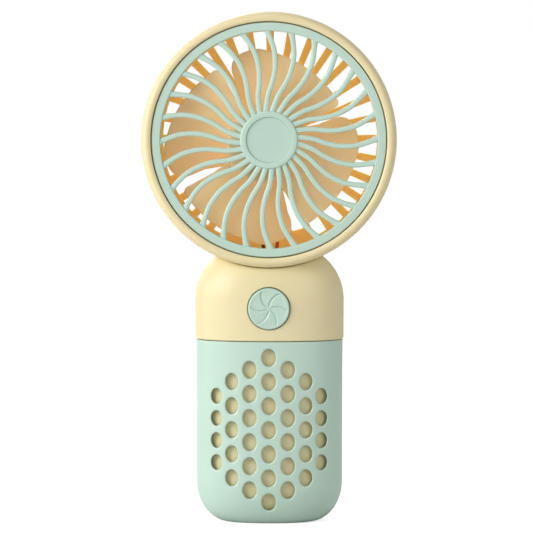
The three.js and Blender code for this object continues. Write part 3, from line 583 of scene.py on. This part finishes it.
def buildHeadShell():
    wallInner = headRadius - bezel["wall"]
    lipOuter = wallInner - gap
    lipInner = lipOuter - rear["lip"]
    seat, pocket = rearPlateBack + gap, rearRadius + gap
    opening = headRadius - rear["rounding"]
    rounding = arc(opening, headBack - rear["rounding"], rear["rounding"], rear["rounding"],
                   0, rear["roundingTurn"], 14)
    corners = [[lipInner, splitY - rear["lipReach"]], [lipOuter, splitY - rear["lipReach"]],
               [lipOuter, splitY + gap / 2], [headRadius, splitY + gap / 2]]
    mouth, plateFront = opening - rear["mouthEdge"], seat - rear["plate"]
    inner = [[mouth, headBack], [mouth, seat], [pocket, seat], [pocket, plateFront - rear["pocketStep"]],
             [wallInner, plateFront - rear["wallStep"]],
             [wallInner, splitY + rear["lipReach"] + rear["lipFoot"]],
             [lipInner, splitY + rear["lipReach"]]]
    outline = np.concatenate([corners, rounding, inner])
    radii = np.concatenate([[0.2, 0.2, 0.1, rear["edge"]], np.zeros(len(rounding)),
                            [0.5, 0.2, 0.1, 0.3, 0.5, 0.5, 0.5]])
    return turned(softCorners(outline, radii), rear["segments"])


def buildNeck():
    # a post on a wider foot: at each height a squared oval, the top rows lifted onto the head:
    # z = head centre - sqrt(r^2 - x^2)
    half, wide = rear["neckHalf"], rear["neckHalf"] + rear["neckFlange"]
    edge, fillet = rear["flangeEdge"], rear["neckFillet"]
    rows = np.array([[0, neckFoot], [wide - edge, neckFoot], [wide, neckFoot + edge],
                     [wide, neckFlangeTop - edge], [wide - edge, neckFlangeTop],
                     [half + fillet, neckFlangeTop], [half, neckFlangeTop + fillet],
                     [half, neckFlangeTop + rear["neckClear"]], [half, headZ], [half / 2, headZ],
                     [0, headZ]])
    a, power = fullTurn(80), rear["neckPower"]
    middle, depth = (neckFront + neckBack) / 2, (neckBack - neckFront) / 2
    x = rows[:, :1] * squared(np.cos(a), power)
    y = middle + depth * np.minimum(rows[:, :1] / half, 1) * squared(np.sin(a), power)
    top = headZ - np.sqrt((headRadius - bezel["wall"] / 2) ** 2 - x ** 2)
    z = np.where(rows[:, 1:] >= headZ, top, rows[:, 1:])
    return gridPart(spots(x, y, z), closeColumns=True)


addPiece("head_shell", buildHeadShell(), *butterPart, ["head_rear_shell"])
addPiece("head_neck", buildNeck(), *butterPart)

# front grille
grille = {"ringWidth": 3.1, "hubRadius": 10.7, "hubRim": 2.3, "hubSetback": 0.6, "recess": 1.0, "proud": 0.2,
          "round": 0.4, "squareness": 3.6, "ribs": 28, "ribWidth": 1.95, "rootWidth": 3.0, "rootFrom": 0.86,
          "hubWidth": 2.2, "hubTo": 0.2, "ribThickness": 2.8, "ribSetback": 0.4, "phase": 0.7,
          "segments": 224, "hubSegments": 128, "ribSteps": 44,
          "ribLine": [[-0.03, 6.3], [0.19, 0.6], [0.36, -4.1], [0.55, -5.6], [0.77, -3.9], [1.03, 0.6]]}
grilleFront = grilleLow[1] + grille["proud"]
grilleInner = grilleRadius - grille["ringWidth"]


def buildGrille():
    edge = grille["round"]
    ring = softCorners(boxSection(grilleInner, grilleRadius, grilleFront, grilleBack),
                       [edge, edge, 0.2, 0.3], steps=7)
    hubRadius, rim = grille["hubRadius"], grilleFront - grille["proud"]
    inside, hubFloor = hubRadius - grille["hubRim"], grilleFront + grille["recess"]
    hubEnd = grilleBack - grille["hubSetback"]
    hub = softCorners([[0, hubFloor], [inside, hubFloor], [inside, rim], [hubRadius, rim],
                       [hubRadius, hubEnd], [0, hubEnd]], [0, 0.1, 0.5, 0.8, 0.3, 0], closed=False, steps=7)
    knots = np.array(grille["ribLine"])
    reach = hubRadius + knots[:, 0] * (grilleInner - hubRadius)
    line = throughPoints(polar(reach, knots[:, 1]), grille["ribSteps"])
    # a rib widens with the square of the way to the ring, and evenly towards the hub
    share = np.linspace(0, 1, grille["ribSteps"])
    towardsRing = np.clip((share - grille["rootFrom"]) / (1 - grille["rootFrom"]), 0, 1) ** 2
    towardsHub = np.clip((grille["hubTo"] - share) / grille["hubTo"], 0, 1)
    width = (grille["ribWidth"] + (grille["rootWidth"] - grille["ribWidth"]) * towardsRing
             + (grille["hubWidth"] - grille["ribWidth"]) * towardsHub)
    rib = barAlong(line, width, grilleFront + grille["ribSetback"], grille["ribThickness"],
                   squareness=grille["squareness"])
    ribs = copiesRound(rib, grille["ribs"], 0, headZ, grille["phase"])
    return gather(turned(ring, grille["segments"]), turned(hub, grille["hubSegments"], closed=False), ribs)


cap = {"slack": 0.04, "sink": 0.4, "dish": 0.15, "dishEdge": 1.6}


def buildBadge():
    radius = grille["hubRadius"] - grille["hubRim"] - cap["slack"]
    front, back = grilleFront + cap["sink"], grilleFront + grille["recess"] - gap
    outline = softCorners([[0, front + cap["dish"]], [radius - cap["dishEdge"], front + cap["dish"]],
                           [radius, front], [radius, back], [0, back]],
                          [0, 2.0, 0.08, 0.05, 0], closed=False, steps=9)
    return turned(outline, grille["hubSegments"], closed=False)


addPiece("grille_front", buildGrille(), *mintPart, ["front_grille"])
addPiece("grille_cap", buildBadge(), *mintPart, ["grille_badge"])

# rear grille
back = {"ribs": 32, "ribWidth": 3.1, "ribNarrow": 1.67, "hubRadius": 14.5, "plate": 3.0, "ringWidth": 2.2,
        "hubRim": 3.0, "hubSlope": 0.6, "hubSink": 0.5, "setback": 0.4, "overlap": 1.0, "coverFrom": 244,
        "coverTo": 292, "coverWidth": 5.5, "boreRadius": 3.2, "socketWall": 1.8, "pillarRadius": 2.2,
        "pilotRadius": 1.2, "pillarStart": 30, "screwCircle": 9.3, "segments": 224, "hubSegments": 128}


def buildRearGrille():
    plateFront = rearPlateBack - back["plate"]
    opening = rearRadius - back["ringWidth"]
    ring = softCorners(boxSection(opening, rearRadius, plateFront, rearPlateBack), 0.3)
    hubRadius, sunk = back["hubRadius"], rearPlateBack - back["hubSink"]
    rim = hubRadius - back["hubRim"]
    hub = softCorners([[0, plateFront], [hubRadius, plateFront], [hubRadius, rearPlateBack],
                       [rim, rearPlateBack], [rim - back["hubSlope"], sunk], [0, sunk]],
                      [0, 0.4, 0.6, 0.3, 0.3, 0], closed=False)
    reach = np.linspace(hubRadius - back["overlap"], opening + back["overlap"], 14)
    width = np.linspace(back["ribNarrow"], back["ribWidth"], 14)
    front, depth = plateFront + back["setback"], back["plate"] - 1.5 * back["setback"]
    rib = barAlong(polar(reach, 0), width, front, depth, sides=20, squareness=7)
    sweep = np.linspace(back["coverFrom"], back["coverTo"], 60)
    middle = opening + back["overlap"] - back["coverWidth"] / 2
    cover = barAlong(polar(middle, sweep), back["coverWidth"], front, depth, sides=28, squareness=10)
    near, far, bore = boardBack + gap, plateFront + back["overlap"], back["boreRadius"]
    socket = softCorners(boxSection(bore, bore + back["socketWall"], near, far), 0.2)
    tube = softCorners(boxSection(back["pilotRadius"], back["pillarRadius"], near, far), 0.2)
    pillar = turned(tube, 32, motorX + back["screwCircle"], motorZ)
    return gather(turned(ring, back["segments"]), turned(hub, back["hubSegments"], closed=False),
                  copiesRound(rib, back["ribs"], 0, headZ), cover, turned(socket, 48, motorX, motorZ),
                  copiesRound(pillar, 3, motorX, motorZ, back["pillarStart"]))


# the rear grille takes the deepened yellow, painted shade of the head's own yellow plastic
addPiece("grille_rear", buildRearGrille(), "housing", "honey_plastic", plastics["shadedYellow"], ["rear_grille"])

# impeller
blade = {"count": 4, "start": 27.7, "climb": 0.1, "setback": 0.9, "thickness": 1.3, "edge": 0.9,
         "rootInside": 0.8, "flatSteps": 9, "bendSteps": 7, "hubRadius": 13.0, "hubWall": 1.3, "hubFace": 1.6,
         "hubDepthShare": 0.32, "bossRadius": 3.1, "bossDepth": 2.0, "shaftBore": 1.3, "boreFloor": 0.7,
         # outline in shares of the tip radius and degrees: start, control and end of each stretch
         "outline": [[("root", -4), (0.45, -1.8), (0.55, 0.2)], [(0.55, 0.2), (0.7, 0.2), (0.84, 0.2)],
                     [(0.84, 0.2), (0.9, 0.2), (0.91, 4)], [(0.91, 4), (1.03, 34), (1.0, 64)],
                     [(1.0, 64), (1.03, 85), (0.74, 84.3)], [(0.74, 84.3), (0.68, 84.15), (0.62, 84)],
                     [(0.62, 84), (0.47, 88.3), ("root", 94)]],
         "samples": [10, 7, 8, 26, 18, 5, 10]}
bladeRadius = (bladeHigh[0] - bladeLow[0]) / 2
hubFront = bladeLow[1]
hubBack = hubFront + blade["hubDepthShare"] * (headBack - headFront)


def buildBlades():
    # points of a blade run from the hub to the outline along straight lines in radius and angle; a point
    # at angle t lies at y = first + climb t, and the half thickness fades at the edge as a quarter circle
    root = blade["hubRadius"] - blade["rootInside"]
    place = lambda share, angle: polar(root if share == "root" else share * bladeRadius, angle)
    stretches = []
    for (start, control, end), samples in zip(blade["outline"], blade["samples"]):
        s = np.linspace(0, 1, samples)[:, None]
        stretches.append((1 - s) ** 2 * place(*start) + 2 * s * (1 - s) * place(*control)
                         + s ** 2 * place(*end))
    outline = np.concatenate(stretches)
    tip = np.linalg.norm(outline, axis=1)[:, None]
    tipTurn = np.degrees(np.arctan2(outline[:, 1], outline[:, 0]))[:, None]
    rootTurn = np.linspace(tipTurn[0], tipTurn[-1], len(outline))
    edge = np.minimum(blade["edge"], 0.5 * (tip - root))
    flat = np.linspace(0, 1, blade["flatSteps"])[None, :-1]
    bend = np.radians(np.linspace(0, 90, blade["bendSteps"]))[None, :]
    radius = np.concatenate([root + (tip - edge - root) * flat, tip - edge + edge * np.sin(bend)], axis=1)
    share = np.where(tip - root > 1e-6, (radius - root) / np.maximum(tip - root, 1e-6), 1)
    turn = rootTurn + (tipTurn - rootTurn) * share
    half = blade["thickness"] / 2 * np.concatenate([np.ones_like(flat), np.cos(bend)], axis=1)
    half = half * (tip - root > 1e-6)
    middle = hubFront + blade["setback"] + blade["thickness"] / 2 + blade["climb"] * turn
    front, behind = [lathed(radius, middle + sign * half, np.radians(turn), motorX, motorZ)
                     for sign in (-1, 1)]
    loop = np.concatenate([front, behind[:, -2::-1]], axis=1)
    return copiesRound(gridPart(loop, closeColumns=True), blade["count"], motorX, motorZ, blade["start"])


def buildImpeller():
    inner, boss, bore = blade["hubRadius"] - blade["hubWall"], blade["bossRadius"], blade["shaftBore"]
    face, floorY = hubFront + blade["hubFace"], hubFront + blade["boreFloor"]
    bossEnd = face + blade["bossDepth"]
    hub = softCorners([[0, hubFront], [blade["hubRadius"], hubFront], [blade["hubRadius"], hubBack],
                       [inner, hubBack], [inner, face], [boss, face], [boss, bossEnd], [bore, bossEnd],
                       [bore, floorY], [0, floorY]],
                      [0, 1.6, 0.3, 0.2, 0.2, 0.2, 0.2, 0.1, 0, 0], closed=False, steps=8)
    return gather(turned(hub, 128, motorX, motorZ, closed=False), buildBlades())


addPiece("fan_blades", buildImpeller(), "rotor", "peach_plastic", plastics["peach"], ["impeller"])

# handle
handle = {"step": 0.3, "edge": 0.45, "innerEdge": 0.05, "openShare": 0.66, "rows": 26}


def handleSkins(turn):
    # outer and inner skin of the handle, row by row from the middle of the foot to the neck opening
    turn = turn[None, :]
    lower, wall, inset = oval["bodyInset"], oval["wall"], oval["bodyInset"] + oval["wall"]
    skins = []
    for depthIn, seam, thick, saddle in ((lower, seamZ + gap, 0.0, headRadius + gap),
                                         (inset, seamZ + gap + wall, wall, headRadius + gap + wall)):
        path = lowerPath(depthIn, seam)
        rows = [rowsOf(path, depthIn, turn[0])]
        across = np.linspace(0, 1, 5)[1:-1, None]
        lowEdge = ovalPoints(halfWidth - thick - handle["step"], seam, thick + handle["step"], turn)
        rows += [rows[0][-1:] * (1 - across[:, :, None]) + lowEdge * across[:, :, None], lowEdge]
        rows.append(ovalPoints(halfWidth - thick, seam + handle["step"], thick, turn))
        heights = np.linspace(seam + handle["step"], domeBase, 14)[1:, None]
        rows.append(ovalPoints(halfWidth - thick, heights, thick, turn))
        edge = handle["edge"] if thick == 0 else handle["innerEdge"]
        dome = domeRows(thick, saddle + edge, turn[0], handle["rows"])
        softer = domeRows(thick + 0.3 * edge, saddle + 0.3 * edge, turn[0], 1)
        rim = domeRows(thick + edge, saddle, turn[0], 1)
        shares = np.linspace(1, handle["openShare"], 6)[1:]
        rows += [dome, softer, rim, saddleRows(rim[-1], saddle, shares)]
        skins.append(np.concatenate([np.broadcast_to(r, (r.shape[0], turn.shape[1], 3)) for r in rows]))
    return skins


def buildHandleHalf(side):
    turn = np.linspace(0, np.pi, oval["turns"] + 1) * side
    skins = []
    for skin in handleSkins(turn):
        skins.append(skin * [1, 1 - gap / 2 / halfDepth, 1] + [0, side * gap / 2, 0])
    return wallPart(*skins)


buttonHole = {"radius": 8.0, "lip": 0.35}
frontHoles = holeCutter(0, buttonZ, buttonHole["radius"], buttonHole["radius"], upperWide, -1,
                        lip=buttonHole["lip"], count=96)
addPiece("handle_front", buildHandleHalf(-1), *butterPart, ["handle_front_shell"], holes=frontHoles)

port = {"halfWidth": 4.8, "halfHeight": 1.9, "lip": 0.25}
screwSink = {"radius": 2.6, "lip": 0.3}
lightHole = {"radius": 1.55, "lip": 0.15}


def middleOf(node):
    # the middle of a node's box
    low, high = boxOf(node)
    return (low + high) / 2


portMiddle, lightMiddle = middleOf("usb_port_shell"), middleOf("light_pipe")
screwMiddles = [middleOf(f"shell_screw_{i}") for i in (1, 2)]
rearHoles = gather(
    holeCutter(portMiddle[0], portMiddle[2], port["halfHeight"], port["halfHeight"], upperWide, 1,
               straight=port["halfWidth"] - port["halfHeight"], lip=port["lip"], count=64),
    holeCutter(lightMiddle[0], lightMiddle[2], lightHole["radius"], lightHole["radius"], upperWide, 1,
               lip=lightHole["lip"]),
    *[holeCutter(m[0], m[2], screwSink["radius"], screwSink["radius"], upperWide, 1, lip=screwSink["lip"],
                 through=8, count=48) for m in screwMiddles])
addPiece("handle_rear", buildHandleHalf(1), *butterPart, ["handle_rear_shell"], holes=rearHoles)

# wells behind the two screws in sight: a tube with a floor, its profile turned about each screw
well = {"slack": 0.03, "wall": 1.3, "below": 0.7, "headHeight": 1.6, "floor": 1.2, "shank": 1.15}


def buildWells():
    inner = screwSink["radius"] + well["slack"]
    tubes = []
    for i, middle in zip((1, 2), screwMiddles):
        seat = boxOf(f"shell_screw_{i}")[1][1] - well["headHeight"] - well["slack"]
        edge = inner + well["wall"]
        top = min(depthAt(middle[0] + sx * edge, middle[2] + sz * edge, upperWide)
                  for sx in (-1, 1) for sz in (-1, 1))
        outline = [[inner, top - well["below"]], [edge, top - well["below"]], [edge, seat - well["floor"]],
                   [well["shank"], seat - well["floor"]], [well["shank"], seat], [inner, seat]]
        tubes.append(turned(softCorners(outline, 0.1), 48, middle[0], middle[2]))
    return gather(*tubes)


addPiece("screw_wells", buildWells(), *butterPart)

# perforated sleeve
sleeve = {"wall": 1.6, "rim": 0.3, "turns": 192, "holeWidth": 5.3, "bridge": 2.4, "topMargin": 5.9,
          "bottomMargin": 8.7, "rowCount": 7, "columns": 3, "columnAngle": 14.8, "narrowing": 0.88,
          "lastPitch": 0.92, "lip": 0.55}


def buildSleeve():
    turn = fullTurn(sleeve["turns"])
    skins = []
    for inset, sign in ((0.0, 1), (sleeve["wall"], -1)):
        path = lowerPath(inset, seamZ - sleeve["rim"])
        bend = np.radians(np.linspace(0, 90, 6))[1:]
        rim = np.stack([path[-1, 0] - sign * sleeve["rim"] * (1 - np.cos(bend)),
                        path[-1, 1] + sleeve["rim"] * np.sin(bend)], axis=1)
        skins.append(rowsOf(np.concatenate([path, rim]), inset, turn))
    return wallPart(*skins, closeColumns=True)


def sleeveHoleCutters():
    # column k stands k column angles round the sleeve and has k holes fewer, about the same middle height
    pitch = (seamZ - sleeve["topMargin"] - sleeve["bottomMargin"]) / (sleeve["rowCount"] - 1)
    middle = sleeve["bottomMargin"] + pitch * (sleeve["rowCount"] - 1) / 2
    cutters = []
    for column in range(-sleeve["columns"], sleeve["columns"] + 1):
        out = abs(column)
        angle = math.radians(sleeve["columnAngle"] * out)
        x = math.copysign(halfWidth * math.sin(angle), column)
        narrowing = math.cos(sleeve["narrowing"] * angle)
        columnPitch = pitch * (sleeve["lastPitch"] if out == sleeve["columns"] else 1)
        halfZ = (pitch - sleeve["bridge"]) / 2 * (0.5 + narrowing / 2 if out > 1 else 1)
        for row in range(sleeve["rowCount"] - out):
            z = middle + columnPitch * (row - (sleeve["rowCount"] - out - 1) / 2)
            cutters.append(holeCutter(x, z, sleeve["holeWidth"] / 2 * narrowing, halfZ, lowerWide, -1,
                                      lip=sleeve["lip"]))
    return gather(*cutters)


addPiece("grip_sleeve", buildSleeve(), *mintPart, ["lower_sleeve"], holes=sleeveHoleCutters())

# button
button = {"radius": 7.7, "rimWidth": 0.55, "rimDrop": 0.6, "flange": 1.5, "flangeThickness": 1.2,
          "guideReach": 3.7, "dish": 0.25, "stemRadius": 1.8, "stemFillet": 0.6, "grooves": 6,
          "grooveDepth": 0.3, "grooveWidth": 0.36, "swirl": 44, "grooveStart": 94, "step": 0.24,
          "rimFade": 0.5, "middleFade": 1.2, "dishFade": 1.0, "segments": 240}


def buildButton():
    # the face is a fine polar grid: y = front + dish (1 - (r/R)^4) + groove + slope. Groove k follows the
    # angle start + 360 k / grooves - swirl r/R and is depth e^-(distance across it / width)^2; the slope
    # climbs by step from one groove to the next. All three fade out towards the rim.
    front, radius, flangeOuter = buttonLow[1], button["radius"], button["radius"] + button["flange"]
    flangeFront = -halfDepth + button["guideReach"] + gap
    flangeBack = flangeFront + button["flangeThickness"]
    faceRadius, stem = radius - button["rimWidth"], button["stemRadius"]
    rim = arc(faceRadius, front + button["rimDrop"], button["rimWidth"], button["rimDrop"], -90, 0, 9)[1:]
    side = softCorners([[radius, front + 2 * button["rimDrop"]], [radius, flangeFront],
                        [flangeOuter, flangeFront], [flangeOuter, flangeBack],
                        [stem + button["stemFillet"], flangeBack], [stem, buttonHigh[1]],
                        [0, buttonHigh[1]]],
                       [0, 0.1, 0.2, 0.2, 0.3, 0.2, 0], closed=False)
    a, r = fullTurn(button["segments"])[None, :], np.linspace(0, faceRadius, 46)[:, None]
    share, sector = r / radius, 2 * np.pi / button["grooves"]
    along = a - math.radians(button["grooveStart"]) + math.radians(button["swirl"]) * share
    offset = (along + sector / 2) % sector - sector / 2
    across = offset * r / button["grooveWidth"]
    fade = smoothStep((faceRadius - r) / button["rimFade"]) * smoothStep(r / button["middleFade"])
    groove = button["grooveDepth"] * np.exp(-across ** 2) * fade
    slope = button["step"] * ((along / sector) % 1 - 0.5) * fade
    dish = button["dish"] * (1 - share ** 4) * smoothStep((faceRadius - r) / button["dishFade"])
    face = lathed(r, front + dish + groove + slope, a, 0, buttonZ)
    rest = np.concatenate([rim, side])
    skirt = lathed(rest[:, :1], rest[:, 1:], a, 0, buttonZ)
    return gridPart(np.concatenate([face, skirt]), closeColumns=True)


addPiece("power_button", buildButton(), "button", "mint_plastic", plastics["mint"], ["button_cap"],
         crease=50)

# screws
# large and small name the head's height and the shank's radius; a head is large from a radius of largeFrom
screws = {"recess": 0.9, "slotHalf": 0.42, "slotSoft": 0.12, "slotReach": 0.62, "endSoft": 0.2,
          "faceShare": 0.8, "large": (1.6, 1.1), "small": (1.1, 0.9), "largeFrom": 2, "segments": 64}


def buildScrew(node, facing):
    # a turned screw with a cross pressed into its head: the recess at radius r and angle a is deep where
    # the smaller of |r sin a| and |r cos a| is within the slot, and ends at a share of the head's radius
    (x, _, z), (low, high) = middleOf(node), boxOf(node)
    headHalf = (high[0] - low[0]) / 2
    face, tip = (high[1], low[1]) if facing > 0 else (low[1], high[1])
    height, shank = screws["large" if headHalf > screws["largeFrom"] else "small"]
    a = fullTurn(screws["segments"])[None, :]
    r = np.linspace(0, screws["faceShare"] * headHalf, 22)[:, None]
    nearest = np.minimum(np.abs(r * np.sin(a)), np.abs(r * np.cos(a)))
    inSlot = smoothStep((screws["slotHalf"] - nearest) / screws["slotSoft"])
    inSlot = inSlot * smoothStep((screws["slotReach"] * headHalf - r) / screws["endSoft"])
    headFace = lathed(r, face - facing * screws["recess"] * inSlot, a, x, z)
    towards = np.array([[0.9, 0.1], [1.0, 0.4], [1.0, 1.0]]) * [headHalf, height]
    length = abs(face - tip)
    body = np.concatenate([towards, [[shank, height], [shank, length - 1], [0, length]]])
    skirt = lathed(body[:, :1], face - facing * body[:, 1:], a, x, z)
    return gridPart(np.concatenate([headFace, skirt]), closeColumns=True)


for kind, count, facing in (("shell", 4, 1), ("motor", 3, -1), ("board", 2, -1)):
    for node in [f"{kind}_screw_{i}" for i in range(1, count + 1)]:
        addPiece("cross_" + node, buildScrew(node, facing), "housing", "steel", metals["steel"], [node],
                 crease=30)

# foam pad under the cell
foamPad = {"crown": 0.12, "edge": 0.4}


def buildFoamPad():
    # a soft disc: its half thickness at radius r is half (1 - crown (r/R)^2), rounded at the edge
    low, high = boxOf("battery_pad")
    radius, middle, half = high[0], (low[2] + high[2]) / 2, (high[2] - low[2]) / 2
    flat, bend = np.linspace(0, radius - foamPad["edge"], 12), np.radians(np.linspace(15, 90, 6))
    r = np.concatenate([flat, flat[-1] + foamPad["edge"] * np.sin(bend)])
    fade = np.concatenate([np.ones_like(flat), np.cos(bend)])
    lift = half * fade * (1 - foamPad["crown"] * (r / radius) ** 2)
    r, height = np.append(r, r[::-1])[:, None], np.append(middle + lift, (middle - lift)[::-1])[:, None]
    a = fullTurn(64)
    return gridPart(spots(r * np.cos(a), r * np.sin(a), height), closeColumns=True)


cellPad = addPiece("cell_pad", buildFoamPad(), "housing", "foam", greyFoam, ["battery_pad"])

# CAD nodes that keep their own shape
keptFinishes = {
    metals["steel"]: ["motor_shaft", "rotor_yoke", "stator_core", "usb_port_shell"],
    metals["bronze"]: ["sleeve_bearing", "bearing_tube"],
    metals["ferrite"]: ["rotor_magnet", "boost_inductor"],
    copperWire: [f"stator_coil_{i}" for i in range(1, 7)],
    greenBoard: ["motor_board", "main_board"],
    plastics["black"]: ["shaft_clip", "switch_body", "switch_plunger", "controller_chip", "usb_port_tongue"],
    plastics["clear"]: ["charge_led", "light_pipe"],
    plastics["cellWrap"]: ["battery_cell"],
    plastics["redSheath"]: ["motor_lead_red", "battery_lead_red"],
    plastics["blackSheath"]: ["motor_lead_black", "battery_lead_black"],
}
for material, nodes in keptFinishes.items():
    for node in nodes:
        frame["nodes"][node].data.materials.clear()
        frame["nodes"][node].data.materials.append(material)
print("finishes on the kept nodes")

# floor, light and camera
studio = {"floorHalf": 6000, "floorDrop": 0.02, "floorColour": "#c9c9c8", "floorTint": "#cdcdcb",
          "floorGlow": 0.75, "world": 0.455, "seen": 1.0, "lampSize": 500, "lampAim": (0, 0, 95)}


def buildFloor():
    line = np.linspace(-studio["floorHalf"], studio["floorHalf"], 9)
    return gridPart(spots(*np.meshgrid(line, line), -studio["floorDrop"]))


floor = addObject("floor", meshOf("floor", buildFloor()))
floorPaint, shader, place = freshMaterial("floorPaint")
colourFrom(noiseFrom(place, 400), shader, studio["floorColour"], studio["floorTint"])
setInputs(shader, {"Roughness": 0.9, "Emission Color": (studio["floorGlow"],) * 3 + (1.0,)})
# the floor's own glow is only seen, so it doesn't light the fan from below
cameraRay = floorPaint.node_tree.nodes.new("ShaderNodeLightPath").outputs["Is Camera Ray"]
feed(cameraRay, shader, "Emission Strength")
floor.data.materials.append(floorPaint)

world = bpy.data.worlds.new("studio")
bpy.context.scene.world = world
world.use_nodes = True
nodes = world.node_tree.nodes
nodes.clear()
mixed, output = nodes.new("ShaderNodeMixShader"), nodes.new("ShaderNodeOutputWorld")
# the first strength lights the fan, the second is what the camera sees behind it
for place, strength in ((1, studio["world"]), (2, studio["seen"])):
    background = nodes.new("ShaderNodeBackground")
    setInputs(background, {"Strength": strength, "Color": linear("#ffffff")})
    feed(background.outputs["Background"], mixed, place)
feed(nodes.new("ShaderNodeLightPath").outputs["Is Camera Ray"], mixed, "Fac")
feed(mixed.outputs["Shader"], output, "Surface")

lamps = {
    "keyLeft": {"at": (-700, -520, 420), "power": 5.1},
    "sideLeft": {"at": (-900, -60, 220), "power": 1.3},
    "rightFront": {"at": (600, -850, 380), "power": 1.7},
    "backTop": {"at": (-300, 700, 600), "power": 6.0},
}


def aim(item, place, target):
    # puts a lamp or a camera at a place in millimetres, looking at the target
    item.location = [value * mm for value in place]
    item.rotation_euler = (Vector(target) - Vector(place)).to_track_quat("-Z", "Y").to_euler()


for name, lamp in lamps.items():
    light = bpy.data.lights.new(name, "AREA")
    light.shape, light.size, light.energy = "DISK", studio["lampSize"] * mm, lamp["power"]
    aim(addObject(name, light), lamp["at"], studio["lampAim"])

view = {"at": (16.0, -1100.0, 163.2), "target": (-0.85, -17.0, 96.95), "fieldAtTarget": 197.6,
        "sensor": 36.0}
cameraData = bpy.data.cameras.new("camera")
camera = addObject("camera", cameraData)
aim(camera, view["at"], view["target"])
distance = math.dist(view["at"], view["target"])
cameraData.sensor_width = view["sensor"]
cameraData.lens = view["sensor"] * distance / view["fieldAtTarget"]
bpy.context.scene.camera = camera
bpy.context.scene.view_settings.view_transform = "Standard"
print("studio ready")
